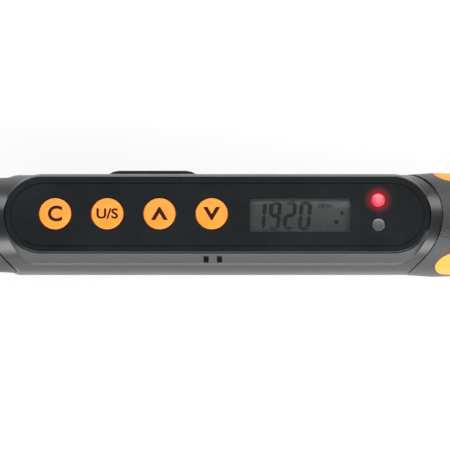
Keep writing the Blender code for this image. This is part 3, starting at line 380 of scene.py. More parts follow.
def grainedMaterial(name, changes):
    # colour mottle, roughness cloud and grain relief, all sized in real millimetres
    look = {**plainLook, **changes}
    made, tree, shader, coords = startMaterial(name, look["shader"])
    place = addNode(tree, "Mapping", {"Scale": look.get("stretch", (1, 1, 1))}, {"Vector": coords})
    cloud = addNode(tree, "TexNoise", {"Scale": perMetre(look["cloud"]), "Detail": 4.0}, {"Vector": place})
    pale, deep = toLinear(look["pale"]), toLinear(look["deep"])
    colour = addNode(tree, "ValToRGB", None, {"Fac": cloud}, ((0.3, deep), (0.7, pale)))
    fine = addNode(
        tree, "TexNoise", {"Scale": perMetre(look["grain"]), "Detail": 3.0, "Roughness": 0.6},
        {"Vector": place},
    )
    speck = addNode(
        tree, "ValToRGB", None, {"Fac": fine}, ((0.35, grey(1 - look["speck"])), (0.72, grey(1.0)))
    )
    colour = addNode(
        tree, "Mix", {"data_type": "RGBA", "blend_type": "MULTIPLY", 0: 1.0}, {6: colour, 7: speck}
    ).outputs[2]
    dull = addNode(
        tree, "ValToRGB", None, {"Fac": cloud},
        ((0.25, grey(look["rough"][0])), (0.75, grey(look["rough"][1]))),
    )
    relief = fine
    if look.get("cells"):
        cells = addNode(tree, "TexVoronoi", {"Scale": perMetre(look["cells"])}, {"Vector": place})
        relief = addNode(
            tree, "Math", {"operation": "ADD"}, {0: cells.outputs["Distance"], 1: fine}
        )
    bump = addNode(
        tree, "Bump", {"Strength": look["relief"], "Distance": look["depth"]}, {"Height": relief}
    )
    linkInputs(tree, shader, {"Base Color": colour, "Roughness": dull, "Normal": bump})
    return made


# spark-eroded ABS: satin black, a fine even grain that breaks the highlight
mouldedAbs = grainedMaterial("mouldedBlackAbs", {
    "shader": {"IOR": 1.53, "Specular IOR Level": 0.55},
    "pale": "#1d1f21", "deep": "#151719", "cloud": 22 * mm, "grain": 0.42 * mm, "speck": 0.12,
    "rough": (0.26, 0.36), "relief": 0.16, "depth": 0.05 * mm,
})
# the same ABS on the neck, a little duller and browner from handling
handledAbs = grainedMaterial("handledBlackAbs", {
    "shader": {"IOR": 1.53, "Specular IOR Level": 0.5},
    "pale": "#1c1d1f", "deep": "#141516", "cloud": 16 * mm, "speck": 0.16,
    "rough": (0.36, 0.48), "relief": 0.2, "depth": 0.06 * mm,
})
# TPR rubber: leathery cells about 0.8 mm across, drawn a little coarse so they show
gripRubber = grainedMaterial("texturedTprRubber", {
    "shader": {"IOR": 1.52, "Sheen Weight": 0.12, "Sheen Roughness": 0.5},
    "pale": "#2a2a2c", "deep": "#1d1d1f", "cloud": 12 * mm, "speck": 0.3, "cells": 0.85 * mm,
    "rough": (0.42, 0.58), "relief": 0.8, "depth": 0.16 * mm,
})
# soft orange TPR with a silky, slightly mottled skin
inlayRubber = grainedMaterial("orangeTprRubber", {
    "shader": {"IOR": 1.5, "Sheen Weight": 0.08, "Subsurface Weight": 0.05, "Subsurface Scale": 0.5 * mm},
    "pale": "#f2952f", "deep": "#e88724", "cloud": 9 * mm, "grain": 0.55 * mm, "speck": 0.06,
    "rough": (0.46, 0.58), "relief": 0.22, "depth": 0.05 * mm,
})
# plain black rubber of the port's flap
flapRubber = grainedMaterial("mouldedBlackRubber", {
    "shader": {"IOR": 1.52, "Sheen Weight": 0.1},
    "pale": "#2a2a2b", "deep": "#1e1e1f", "cloud": 7 * mm, "grain": 0.4 * mm, "speck": 0.15,
    "rough": (0.5, 0.62), "relief": 0.2, "depth": 0.05 * mm,
})
# orange key caps: double-shot ABS with a matte face and a few rubbed spots
keyAbs = grainedMaterial("orangeKeyAbs", {
    "shader": {"IOR": 1.5, "Subsurface Weight": 0.06, "Subsurface Scale": 0.4 * mm},
    "pale": "#f08a26", "deep": "#e67f20", "cloud": 4.5 * mm, "grain": 0.45 * mm, "speck": 0.05,
    "rough": (0.4, 0.52), "relief": 0.14,
})
# pad-printed legend ink, very dark brown
legendInk = grainedMaterial("brownLegendInk", {
    "shader": {"Specular IOR Level": 0.15},
    "pale": "#2a0e05", "deep": "#200a03", "cloud": 2 * mm, "grain": 0.3 * mm,
    "rough": (0.45, 0.55), "depth": 0.02 * mm,
})
# chrome vanadium steel, polished and plated: near-mirror with faint polishing waves
chromeVanadium = grainedMaterial("polishedChromeVanadium", {
    "shader": {"Metallic": 1.0},
    "pale": "#d3d5d8", "deep": "#c3c6ca", "cloud": 14 * mm, "grain": 1.6 * mm, "speck": 0.03,
    "rough": (0.1, 0.2), "relief": 0.04, "depth": 0.08 * mm,
})
# ground steel tube with a satin lay running round it
satinTube = grainedMaterial("satinChromeTube", {
    "shader": {"Metallic": 1.0, "Anisotropic": 0.45},
    "pale": "#cfd1d4", "deep": "#bfc2c6", "cloud": 18 * mm, "grain": 1.0 * mm, "speck": 0.06,
    "stretch": (3.2, 0.5, 0.5), "rough": (0.2, 0.3),
})
# hardened tool steel of the drive, ground flats with fine lines along Z
toolSteel = grainedMaterial("groundToolSteel", {
    "shader": {"Metallic": 1.0},
    "pale": "#b4b6b9", "deep": "#9c9ea2", "cloud": 6 * mm, "grain": 0.6 * mm, "speck": 0.12,
    "stretch": (2.4, 2.4, 0.35), "rough": (0.24, 0.36), "relief": 0.14,
})
# black oxide on small steel parts: dark, slightly brown, oily sheen
blackOxide = grainedMaterial("blackOxideSteel", {
    "shader": {"Metallic": 0.75},
    "pale": "#3b3b3d", "deep": "#28282a", "grain": 0.4 * mm, "speck": 0.15,
    "rough": (0.3, 0.44), "relief": 0.12,
})
# nickel-plated spring wire
springWire = grainedMaterial("nickelSpringWire", {
    "shader": {"Metallic": 1.0},
    "pale": "#bdbec2", "deep": "#a7a9ad", "cloud": 2 * mm, "grain": 0.3 * mm, "speck": 0.08,
    "rough": (0.22, 0.34), "relief": 0.08, "depth": 0.02 * mm,
})
# stamped contact brass, a little tarnished
contactBrass = grainedMaterial("stampedContactBrass", {
    "shader": {"Metallic": 1.0},
    "pale": "#d8b36a", "deep": "#b98f45", "speck": 0.12,
    "rough": (0.25, 0.42),
})
# green solder mask over glass fibre, with the weave just showing
solderMask = grainedMaterial("greenSolderMask", {
    "shader": {"IOR": 1.55},
    "pale": "#1d6a3a", "deep": "#124d28", "speck": 0.2, "cells": 0.6 * mm,
    "rough": (0.25, 0.4), "relief": 0.15,
})
# silicone of seals and key mat
siliconeRubber = grainedMaterial("greySiliconeRubber", {
    "shader": {"IOR": 1.43, "Sheen Weight": 0.1},
    "pale": "#6a6b6d", "deep": "#56575a", "cloud": 5 * mm,
    "rough": (0.5, 0.62), "relief": 0.12,
})
# printed shrink sleeve of the cells
shrinkSleeve = grainedMaterial("printedShrinkSleeve", {
    "shader": {"Coat Weight": 0.5, "Coat Roughness": 0.1},
    "pale": "#30405a", "deep": "#26334a", "cloud": 8 * mm, "grain": 0.8 * mm, "speck": 0.06,
    "rough": (0.25, 0.35), "relief": 0.05,
})
# PVC wire insulation
wirePvc = grainedMaterial("redWirePvc", {
    "pale": "#b0231d", "deep": "#8c1a16", "grain": 0.4 * mm, "speck": 0.08,
    "rough": (0.35, 0.45), "relief": 0.08, "depth": 0.02 * mm,
})
# grey diffuser of the unlit lamp
frostedLens = grainedMaterial("frostedLampLens", {
    "shader": {"IOR": 1.49, "Subsurface Weight": 0.3, "Subsurface Scale": 0.6 * mm, "Coat Weight": 0.3},
    "pale": "#4a4e53", "deep": "#34383c", "cloud": 1.2 * mm, "grain": 0.35 * mm,
    "rough": (0.3, 0.42), "relief": 0.15,
})


def litLensMaterial():
    # a lit red lamp: pale pink in the middle, deeper red at its rim
    made, tree, shader, coords = startMaterial(
        "litRedLens", {"Roughness": 0.3, "Coat Weight": 0.3, "Emission Strength": 0.75}
    )
    centre = middleOf("led_red")
    offset = addNode(tree, "VectorMath", {"operation": "DISTANCE", 1: centre}, {0: coords}).outputs["Value"]
    spread = addNode(tree, "MapRange", {"From Max": 2.6 * mm}, {"Value": offset})
    colour = addNode(
        tree, "ValToRGB", None, {"Fac": spread}, ((0.0, toLinear("#ff8a9a")), (1.0, toLinear("#f4233a")))
    )
    grain = addNode(tree, "TexNoise", {"Scale": perMetre(0.5 * mm)}, {"Vector": coords})
    bump = addNode(tree, "Bump", {"Strength": 0.1, "Distance": 0.03 * mm}, {"Height": grain})
    linkInputs(tree, shader, {"Base Color": colour, "Emission Color": colour, "Normal": bump})
    return made


def plateMaterial():
    # smoked acrylic over a printed sheet: smooth and dark, the lit lamp's red spreads inside it
    made, tree, shader, coords = startMaterial(
        "smokedAcrylicPlate", {"IOR": 1.49, "Specular IOR Level": 0.34, "Emission Strength": 0.75}
    )
    cloud = addNode(tree, "TexNoise", {"Scale": perMetre(30 * mm), "Detail": 3.0}, {"Vector": coords})
    colour = addNode(
        tree, "ValToRGB", None, {"Fac": cloud}, ((0.3, toLinear("#0f1113")), (0.7, toLinear("#171a1c")))
    )
    haze = addNode(
        tree, "TexNoise", {"Scale": perMetre(6 * mm), "Detail": 6.0, "Roughness": 0.7}, {"Vector": coords}
    )
    dull = addNode(tree, "ValToRGB", None, {"Fac": haze}, ((0.3, grey(0.16)), (0.75, grey(0.27))))
    peel = addNode(tree, "TexNoise", {"Scale": perMetre(1.8 * mm)}, {"Vector": coords})
    bump = addNode(tree, "Bump", {"Strength": 0.05, "Distance": 0.04 * mm}, {"Height": peel})
    lamp = middleOf("led_red")
    offset = addNode(
        tree, "VectorMath", {"operation": "DISTANCE", 1: Vector((lamp.x, lamp.y, plateHigh.z))}, {0: coords}
    )
    near = addNode(
        tree, "MapRange",
        {
            "interpolation_type": "SMOOTHSTEP", "From Min": 1.8 * mm, "From Max": 5.4 * mm, "To Min": 1.0,
            "To Max": 0.0,
        },
        {"Value": offset.outputs["Value"]},
    )
    glow = addNode(
        tree, "Mix", {"data_type": "RGBA", 6: grey(0.0), 7: toLinear("#9a1424")}, {0: near}
    ).outputs[2]
    linkInputs(
        tree, shader, {"Base Color": colour, "Roughness": dull, "Emission Color": glow, "Normal": bump}
    )
    return made


def lcdMaterial():
    # reflective liquid crystal: grey-green, with a faint pixel lay
    made, tree, shader, coords = startMaterial("greyLiquidCrystal", {"IOR": 1.5, "Roughness": 0.3})
    cloud = addNode(tree, "TexNoise", {"Scale": perMetre(14 * mm)}, {"Vector": coords})
    colour = addNode(
        tree, "ValToRGB", None, {"Fac": cloud}, ((0.3, toLinear("#3d4241")), (0.7, toLinear("#494e4c")))
    )
    lay = addNode(
        tree, "TexWave", {"Scale": perMetre(6.0 * mm), "Distortion": 0.3}, {"Vector": coords}
    ).outputs["Fac"]
    bump = addNode(tree, "Bump", {"Strength": 0.05, "Distance": 0.02 * mm}, {"Height": lay})
    linkInputs(tree, shader, {"Base Color": colour, "Normal": bump})
    return made


def lensMaterial():
    # clear acrylic window: mostly see-through, with a polished surface and faint haze
    made, tree, shader, coords = startMaterial(
        "clearAcrylicLens",
        {"Base Color": toLinear("#14181a"), "IOR": 1.49, "Alpha": 0.16, "Specular IOR Level": 0.35}
    )
    haze = addNode(tree, "TexNoise", {"Scale": perMetre(5 * mm), "Detail": 5.0}, {"Vector": coords})
    dull = addNode(tree, "ValToRGB", None, {"Fac": haze}, ((0.3, grey(0.06)), (0.7, grey(0.14))))
    linkInputs(tree, shader, {"Roughness": dull})
    return made


lcdInk = grainedMaterial("darkLcdSegment", {
    "shader": {},
    "pale": "#0c0e14", "deep": "#07080c", "cloud": 5 * mm, "grain": 0.5 * mm, "speck": 0.1,
    "rough": (0.35, 0.45), "relief": 0.05, "depth": 0.01 * mm,
})
litLens = litLensMaterial()
smokedPlate = plateMaterial()
greyLcd = lcdMaterial()
clearLens = lensMaterial()
print("materials made")


def finishPiece(piece, body, material, nodes=(), degrees=32):
    smooth(piece, degrees)
    piece.data.materials.clear()
    piece.data.materials.append(material)
    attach(piece, body)
    if nodes:
        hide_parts(*nodes)
    return piece


# display housing: round body with saddle ends and the raised slot-shaped bezel
housing = {
    "bezelShoulder": 10.8 * mm, "bezelEdge": 0.35 * mm, "bezelWall": 2.6 * mm, "wall": 2.3 * mm,
    "endBlock": 16.5 * mm, "windowLedge": 1.8 * mm, "splitGap": 0.3 * mm, "soundHole": 1.75 * mm,
    "soundPlaces": (-3.9 * mm, 0.7 * mm),
}


shoulderZ = axisZ + housing["bezelShoulder"]


def housingInside():
    left, right = shellLow.x, shellHigh.x
    bore, cavity = tubeRadius + 0.3 * mm, bodyRadius - housing["wall"]
    inner = housing["endBlock"]
    outline = (
        (left - 20 * mm, 0), (left - 20 * mm, bore), (left + inner, bore), (left + inner, cavity),
        (right - inner, cavity), (right - inner, bore), (right + 20 * mm, bore), (right + 20 * mm, 0),
    )
    return turnedPiece("housingInside", outline)


def portRecess():
    cover = middleOf("port_cover")
    low, high = boxOf("port_cover")
    half = (high.x - low.x) / 2 + 0.4 * mm
    rise = (high.z - low.z) / 2 + 0.5 * mm
    seat = bodyRadius - 0.7 * mm
    tool = turnedPiece("portRecess", ringProfile([
        (cover.x - half, seat), (cover.x + half, seat), (cover.x + half, seat + 6 * mm),
        (cover.x - half, seat + 6 * mm),
    ]))
    carve(
        tool,
        block("recessBlock", (low.x - 5 * mm, 0, axisZ - rise), (high.x + 5 * mm, 40 * mm, axisZ + rise)),
        "INTERSECT",
    )
    return tool


def portOpening():
    low, high = boxOf("usb_socket")
    gap = 0.3 * mm
    return block("portOpening", (low.x - gap, tubeRadius, low.z - gap), (high.x + gap, 30 * mm, high.z + gap))


def screwBores():
    bores = []
    for i in range(1, 5):
        low, high = boxOf(f"housing_screw_{i}")
        spot = middleOf(f"housing_screw_{i}")
        wide = (high.x - low.x) / 2 + 0.3 * mm
        outline = (
            (-30 * mm, 0), (-30 * mm, wide), (low.z + 1.8 * mm, wide), (low.z + 1.8 * mm, 1.5 * mm),
            (high.z + 0.3 * mm, 1.5 * mm), (high.z + 0.3 * mm, 0),
        )
        bores.append(turnedPiece(f"screwBore{i}", outline, "Z", Vector((spot.x, spot.y, 0)), 32))
    return bores


def soundHoles(shell):
    side = housing["soundHole"] / 2
    middle = plateHalf + housing["bezelWall"] * 0.6
    for i, place in enumerate(housing["soundPlaces"]):
        x = faceX + place
        low, high = (x - side, -middle - side, shoulderZ), (x + side, -middle + side, plateHigh.z + mm)
        carve(shell, block(f"soundHole{i}", low, high))


def roundBody(name):
    reach = 20 * mm
    return cylinderTool(
        name, bodyRadius, (shellLow.x - reach, 0, axisZ), (shellHigh.x + reach, 0, axisZ), 160
    )


def openShell(shell, split):
    for tool in [split, portRecess(), portOpening()] + screwBores():
        carve(shell, tool)


def makeHousing():
    upper = roundBody("housingUpperShell")
    wide = plateHalf + housing["bezelWall"]
    shoulder = shoulderZ
    base = axisZ + 5.2 * mm
    top = plateHigh.z
    rim = plateHalf + housing["bezelEdge"]
    slopeRise = top - shoulder - 0.95 * mm
    boss = faceSlot("bezelBoss", wide, base, (
        (0, shoulder - base - 0.5 * mm), (0.06 * mm, 0.3 * mm), (0.14 * mm, 0.35 * mm), (0.18 * mm, 0.3 * mm),
        (wide - rim - 0.83 * mm, slopeRise), (0.13 * mm, 0.25 * mm), (0.14 * mm, 0.17 * mm),
        (0.18 * mm, 0.08 * mm),
    ))
    carve(upper, boss, "UNION")
    carve(upper, saddleBlock("upperSaddle", 0.0), "INTERSECT")
    recessFloor = plateLow.z - 0.3 * mm
    carve(upper, faceSlot("plateRecess", plateHalf + 0.12 * mm, recessFloor, ((0, 10 * mm),)))
    carve(upper, housingInside())
    window = faceSlot(
        "boardWindow", plateHalf - housing["windowLedge"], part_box("circuit_board")[0][2] - 0.3 * mm,
        ((0, 20 * mm),),
    )
    carve(upper, window)
    half = housing["splitGap"] / 2
    far = 3 * bodyRadius
    openShell(
        upper,
        block("belowSplit", (shellLow.x - far, -far, axisZ - far), (shellHigh.x + far, far, axisZ + half)),
    )
    soundHoles(upper)
    finishPiece(upper, "frame", mouldedAbs, ["housing_upper"], 28)

    lower = roundBody("housingLowerShell")
    carve(lower, saddleBlock("lowerSaddle", 0.0), "INTERSECT")
    carve(lower, housingInside())
    openShell(
        lower,
        block("aboveSplit", (shellLow.x - far, -far, axisZ - half), (shellHigh.x + far, far, axisZ + far)),
    )
    finishPiece(lower, "frame", mouldedAbs, ["housing_lower"], 28)


makeHousing()
print("housing made")

# face plate: rounded rim, engraved line round the smooth middle, holes for keys, lamps and window
plate = {
    "edge": 0.25 * mm, "lineInset": 1.75 * mm, "lineWidth": 0.36 * mm, "lineDepth": 0.28 * mm,
    "keyGap": 0.3 * mm,
}
keyNodes = ("key_clear", "key_units", "key_up", "key_down")


def makePlate():
    thick = plateHigh.z - plateLow.z
    edge, line, deep = plate["edge"], plate["lineWidth"] / 2, plate["lineDepth"]
    piece = faceSlot("facePlate", plateHalf, plateLow.z, (
        (0, thick - edge), (0.08 * mm, 0.14 * mm), (edge - 0.08 * mm, edge - 0.14 * mm),
        (plate["lineInset"], 0.00001 * mm),
        (0.05 * mm, -deep), (line, 0.00001 * mm), (line, 0.00001 * mm), (0.05 * mm, deep),
    ))
    for node in keyNodes:
        spot = middleOf(node)
        radius = keys["radius"] + plate["keyGap"]
        carve(piece, post("keyHole", radius, spot, plateLow.z - mm, plateHigh.z + mm, 72))
    low, high = boxOf("lcd_lens")
    gap = 0.2 * mm
    carve(
        piece,
        block(
            "lensHole", (low.x - gap, low.y - gap, plateLow.z - mm),
            (high.x + gap, high.y + gap, plateHigh.z + mm),
        ),
    )
    for node in ("led_red", "led_green"):
        spot = middleOf(node)
        low, high = boxOf(node)
        radius = (high.x - low.x) / 2 + 0.2 * mm
        carve(piece, post("lampHole", radius, spot, plateLow.z - mm, plateHigh.z + mm, 40))
    finishPiece(piece, "frame", smokedPlate, ["face_plate"], 25)


# keys: a flanged cap with a rounded rim, and its printed legend
keys = {
    "radius": 5.5 * mm, "flange": 0.7 * mm, "flangeHeight": 0.4 * mm, "rim": 0.35 * mm,
    "inkHeight": 0.03 * mm,
    "bold": {"C": 0.2 * mm, "U/S": 0.13 * mm, "V": 0.24 * mm},
    "legends": {
        "key_clear": ("C", 7.4 * mm, 0, 1.0), "key_units": ("U/S", 4.9 * mm, 0, 1.08),
        "key_up": ("V", 6.0 * mm, 180, 1.35), "key_down": ("V", 6.0 * mm, 0, 1.35),
    },
}


def makeLegend(node, crown):
    words, size, turn, stretch = keys["legends"][node]
    spot = middleOf(node)
    legend = textPiece(words, size, keys["bold"][words], keys["inkHeight"])
    corners = [Vector(corner) for corner in legend.bound_box]
    middle = sum(corners, Vector()) / 8
    legend.location = -middle
    placed(f"legend_{node}")
    legend.rotation_euler = (0, 0, math.radians(turn))
    legend.scale = (stretch, 1, 1)
    legend.location = (spot.x, spot.y, crown + keys["inkHeight"] / 2)
    placed(f"legend_{node}")
    finishPiece(legend, node, legendInk)


def makeKeys():
    for node in keyNodes:
        low, high = boxOf(node)
        spot = middleOf(node)
        radius, rim = keys["radius"], keys["rim"]
        ledge = low.z + keys["flangeHeight"]
        crown = high.z - keys["inkHeight"]
        outline = [
            (low.z, 0), (low.z, radius + keys["flange"]), (ledge, radius + keys["flange"]), (ledge, radius),
            (crown - rim, radius),
        ]
        for a in quarterTurn(5):
            outline.append((crown - rim + rim * math.sin(a), radius - rim + rim * math.cos(a)))
        outline.append((crown, 0))
        cap = turnedPiece(f"cap_{node}", outline, "Z", Vector((spot.x, spot.y, 0)), 64)
        finishPiece(cap, node, keyAbs, [node])
        makeLegend(node, crown)


makePlate()
makeKeys()
print("plate and keys made")

# display: the glass with its dark digits, and the clear window over it
display = {
    "digits": "1920", "digitPitch": 5.2 * mm, "digitWidth": 4.3 * mm, "digitHeight": 10.4 * mm,
    "stroke": 1.35 * mm,
    "lean": math.radians(5), "digitsCentre": -6.2 * mm, "inkHeight": 0.04 * mm, "segmentGap": 0.25 * mm,
    "unitPlace": (8.6 * mm, 3.7 * mm), "unitSize": 2.6 * mm, "unitBold": 0.1 * mm,
    "statusMarks": ((14.4, 0.9, 1.5), (12.4, -2.2, 1.9)), "glassEdge": 0.15 * mm, "windowEdge": 0.12 * mm,
    "lampDome": 0.45 * mm,
}
segmentsOf = {"0": "abcdef", "1": "bc", "2": "abged", "9": "abcdfg"}


def segmentPlaces(width, height):
    quarter = height / 4
    return {
        "a": (0, 2 * quarter, True), "g": (0, 0, True), "d": (0, -2 * quarter, True),
        "f": (-width / 2, quarter, False),
        "b": (width / 2, quarter, False), "e": (-width / 2, -quarter, False),
        "c": (width / 2, -quarter, False),
    }


def makeDigits():
    centre = middleOf("lcd_module")
    stroke = display["stroke"]
    width, height = display["digitWidth"] - stroke, display["digitHeight"] - stroke
    level = boxOf("lcd_module")[1].z + display["inkHeight"] / 2 + 0.01 * mm
    pieces = []
    for i, digit in enumerate(display["digits"]):
        start = centre.x + display["digitsCentre"] + (i - 1.5) * display["digitPitch"]
        for mark in segmentsOf[digit]:
            x, y, flat = segmentPlaces(width, height)[mark]
            long = (width if flat else height / 2) - display["segmentGap"]
            spot = Vector((start + x + math.tan(display["lean"]) * y, centre.y + y, level))
            reach = Vector(
                (long, stroke, display["inkHeight"]) if flat else (stroke, long, display["inkHeight"])
            ) / 2
            segment = block(f"segment{i}{mark}", spot - reach, spot + reach)
            selectWhere(segment, "edges", lambda at, way: abs(way.z) > 0.9)
            bpy.ops.mesh.bevel(offset=0.4 * stroke, segments=1)
            bpy.ops.mesh.select_all(action="SELECT")
            if not flat:
                bpy.ops.transform.rotate(value=display["lean"], orient_axis="Z", center_override=spot)
            leaveEdit()
            pieces.append(segment)
    for along, across, size in display["statusMarks"]:
        deselectAll()
        spot = (centre.x + along * mm, centre.y + across * mm, level)
        bpy.ops.mesh.primitive_cylinder_add(
            vertices=5, radius=size * mm / 2, depth=display["inkHeight"], location=spot
        )
        pieces.append(placed("statusMark"))
    along, across = display["unitPlace"]
    textPiece(
        "N·m", display["unitSize"], display["unitBold"], display["inkHeight"],
        (centre.x + along, centre.y + across, level),
    )
    pieces.append(placed("unitMark"))
    finishPiece(joined("lcdDigits", pieces), "frame", lcdInk)


def makeDisplay():
    low, high = boxOf("lcd_module")
    glass = block("lcdGlass", low, high)
    softenEdges(glass, display["glassEdge"])
    finishPiece(glass, "frame", greyLcd, ["lcd_module"])
    low, high = boxOf("lcd_lens")
    lens = block("lcdWindow", low, high)
    softenEdges(lens, display["windowEdge"])
    finishPiece(lens, "frame", clearLens, ["lcd_lens"])
    makeDigits()
    for node, material, slot in (("led_red", litLens, "red_lens"), ("led_green", frostedLens, "grey_lens")):
        low, high = boxOf(node)
        spot = middleOf(node)
        radius, dome = (high.x - low.x) / 2, display["lampDome"]
        outline = [(low.z, 0), (low.z, radius), (high.z - dome, radius)]
        for a in quarterTurn(6):
            outline.append((high.z - dome + dome * math.sin(a), radius * math.cos(a)))
        outline[-1] = (high.z, 0)
        lamp = turnedPiece(f"lamp_{node}", outline, "Z", Vector((spot.x, spot.y, 0)), 40)
        finishPiece(lamp, "frame", material, [node])


makeDisplay()
print("display made")

# ratchet head: a polished round head running into an oval shank
head = {
    "rim": 2.6 * mm, "gearRoom": 0.5 * mm, "leverBore": 2.8 * mm, "pocketHalf": 6.5 * mm, "spigot": 4 * mm,
    "spigotLength": 10 * mm, "coverTail": 8.4 * mm, "coverGap": 0.3 * mm, "hubBore": 8.3 * mm,
    "roof": 6 * mm, "pinBore": 2.3 * mm, "screwBore": 1.2 * mm, "screwDepth": 8.2 * mm, "pocketEnd": 5.5 * mm,
}
headRadius = -headLow.x
headHalf = (headHigh.z - headLow.z) / 2
coverLow, coverHigh = boxOf("head_cover")
coverTailX = coverHigh.x - head["coverTail"]


def makeShank():
    shoulder, end = tubeLow.x - 0.3 * mm, headHigh.x
    step = end - head["spigotLength"]
    slim = tubeRadius - 2.3 * mm
    return ringedPiece("shank", [
        (0.55 * headRadius, 0.78 * headRadius, headHalf - 0.7 * mm),
        (coverTailX - 3 * mm, 0.71 * headRadius, headHalf - 0.74 * mm),
        (coverTailX, 1.15 * tubeRadius + 1.6 * mm, headHalf - 0.8 * mm),
        (coverTailX + 5 * mm, tubeRadius + 1.9 * mm, headHalf - 0.88 * mm),
        (coverTailX + 12 * mm, tubeRadius + 0.8 * mm, headHalf - 1.0 * mm),
        (shoulder - 7 * mm, tubeRadius, tubeRadius), (shoulder - 0.4 * mm, tubeRadius, tubeRadius),
        (shoulder, tubeRadius - 0.4 * mm, tubeRadius - 0.4 * mm), (shoulder, slim, slim), (step, slim, slim),
        (step, head["spigot"], head["spigot"]), (end, head["spigot"], head["spigot"]),
    ])


def makeHead():
    gearLow, gearHigh = boxOf("drive_gear")
    pocket = (gearHigh.x - gearLow.x) / 2 + head["gearRoom"]
    seat = coverHigh.z + head["coverGap"]
    piece = turnedPiece(
        "headHousing", roundedDisc(headRadius, headLow.z, headHigh.z, head["rim"]), "Z", Vector(), 128
    )
    carve(piece, makeShank(), "UNION")
    wide = (coverHigh.y - coverLow.y) / 2 + head["coverGap"]
    below = headLow.z - mm
    recess = hullOf("recess", [
        post("recessRound", wide, (0, 0), below, seat, 96),
        post("recessTail", head["coverTail"] + head["coverGap"], (coverTailX, 0), below, seat, 64),
    ])
    carve(piece, recess)
    roof = axisZ + head["roof"]
    gearBore = [
        (seat - mm, 0), (seat - mm, pocket), (roof, pocket), (roof, head["hubBore"]),
        (headHigh.z + mm, head["hubBore"]), (headHigh.z + mm, 0),
    ]
    carve(piece, turnedPiece("gearBore", gearBore, "Z", Vector(), 96))
    side = head["pocketHalf"]
    pawlTop = boxOf("pawl")[1].z + 0.5 * mm
    carve(
        piece,
        block(
            "pawlPocket", (0.7 * pocket, -side, seat - 1.3 * mm),
            (headRadius + head["pocketEnd"], side, pawlTop),
        ),
    )
    leverX = headRadius - mm
    carve(piece, post("leverBore", head["leverBore"], (leverX, 0), axisZ, headHigh.z + mm))
    spot = middleOf("beam_pin_front")
    carve(
        piece,
        cylinderTool("headPinBore", head["pinBore"], (spot.x, -30 * mm, spot.z), (spot.x, 30 * mm, spot.z)),
    )
    for i in range(1, 4):
        spot = middleOf(f"cover_screw_{i}")
        carve(piece, post("coverBore", head["screwBore"], spot, below, below + head["screwDepth"]))
    finishPiece(piece, "frame", chromeVanadium, ["head_housing"], 30)


# drive: the ground square with its taper and ball bore
drive = {
    "corner": 1.0 * mm, "taper": 0.9, "pin": 2.8 * mm, "pinBelow": 4.2 * mm, "ballBore": 2.65 * mm,
    "edge": 0.15 * mm,
    "springWire": 0.35 * mm, "springTurns": 3, "travel": 2.2 * mm,
}


def makeSquare():
    low, high = boxOf("square_drive")
    piece = block("squareDrive", low, high)
    selectWhere(piece, "edges", lambda at, way: abs(way.z) > 0.9)
    bpy.ops.mesh.bevel(offset=drive["corner"], segments=4, profile=0.5)
    leaveEdit()
    ball = middleOf("detent_ball")
    floor, roof = ball.z - drive["pinBelow"], high.z + mm
    bore = [(floor, 0), (floor, drive["pin"]), (roof, drive["pin"]), (roof, 0)]
    carve(piece, turnedPiece("pinBore", bore, "Z", Vector(), 48))
    carve(piece, cylinderTool("ballBore", drive["ballBore"], (0, 0, ball.z), (high.x + mm, 0, ball.z)))
    selectWhere(piece, "faces", lambda at, way: way.z < -0.9 and at.z < low.z + 0.01 * mm)
    bpy.ops.transform.resize(value=(drive["taper"], drive["taper"], 1), center_override=(0, 0, low.z))
    leaveEdit()
    softenEdges(piece, drive["edge"], 2, 40)
    finishPiece(piece, "drive", toolSteel, ["square_drive"], 30)


def makeBall():
    low, high = boxOf("detent_ball")
    deselectAll()
    bpy.ops.mesh.primitive_uv_sphere_add(
        segments=48, ring_count=24, radius=(high.z - low.z) / 2, location=(low + high) / 2
    )
    piece = placed("detentBall")
    selectWhere(piece, "faces", lambda at, _: at.x > -1)
    bpy.ops.mesh.subdivide(number_cuts=1, smoothness=1.0)
    leaveEdit()
    finishPiece(piece, "ball", chromeVanadium, ["detent_ball"], 60)


button = {
    "rim": 0.7 * mm, "skirt": 4.6 * mm, "coneStart": 3.4 * mm, "coneLength": 3.25 * mm, "tip": 1.58 * mm,
    "waist": 1.2 * mm, "pin": 2.5 * mm, "skirtEdge": 0.2 * mm,
    "dish": ((0.62, 0.25 * mm), (0.3, 0.45 * mm), (0, 0.5 * mm)),
}


def makeButton():
    # a dished button on a pin that narrows beside the ball
    low, high = boxOf("release_button")
    radius, rim, pin, edge = (high.x - low.x) / 2, button["rim"], button["pin"], button["skirtEdge"]
    skirt = high.z - button["skirt"]
    cone = low.z + button["coneStart"]
    outline = [
        (low.z, 0), (low.z, button["tip"]), (cone, button["waist"]), (cone + button["coneLength"], pin)
    ]
    outline += [(skirt, pin), (skirt, radius - edge), (skirt + edge, radius)]
    for a in quarterTurn(6, 0):
        outline.append((high.z - rim * (1 - math.sin(a)), radius - rim * (1 - math.cos(a))))
    outline += [(high.z - deep, radius * share) for share, deep in button["dish"]]
    piece = turnedPiece("releaseButton", outline, "Z", Vector(), 72)
    finishPiece(piece, "button", chromeVanadium, ["release_button"], 30)


def makeReleaseSpring():
    low, high = boxOf("release_spring")
    wire, turns = drive["springWire"], drive["springTurns"]
    coil = (high.x - low.x) / 2 - wire
    deselectAll()
    bpy.ops.mesh.primitive_circle_add(
        vertices=16, radius=wire, location=(coil, 0, low.z + wire), rotation=(math.pi / 2, 0, 0)
    )
    piece = placed("releaseSpring")
    pitch = (high.z - low.z - 2 * wire) / turns
    applyModifier(
        piece, "SCREW", screw_offset=pitch, iterations=turns, steps=36, render_steps=36,
        use_merge_vertices=False,
    )
    editAll(piece)
    bpy.ops.mesh.fill_holes(sides=0)
    closeMesh()
    finishPiece(piece, "drive", springWire, ["release_spring"], 60)
    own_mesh(piece)


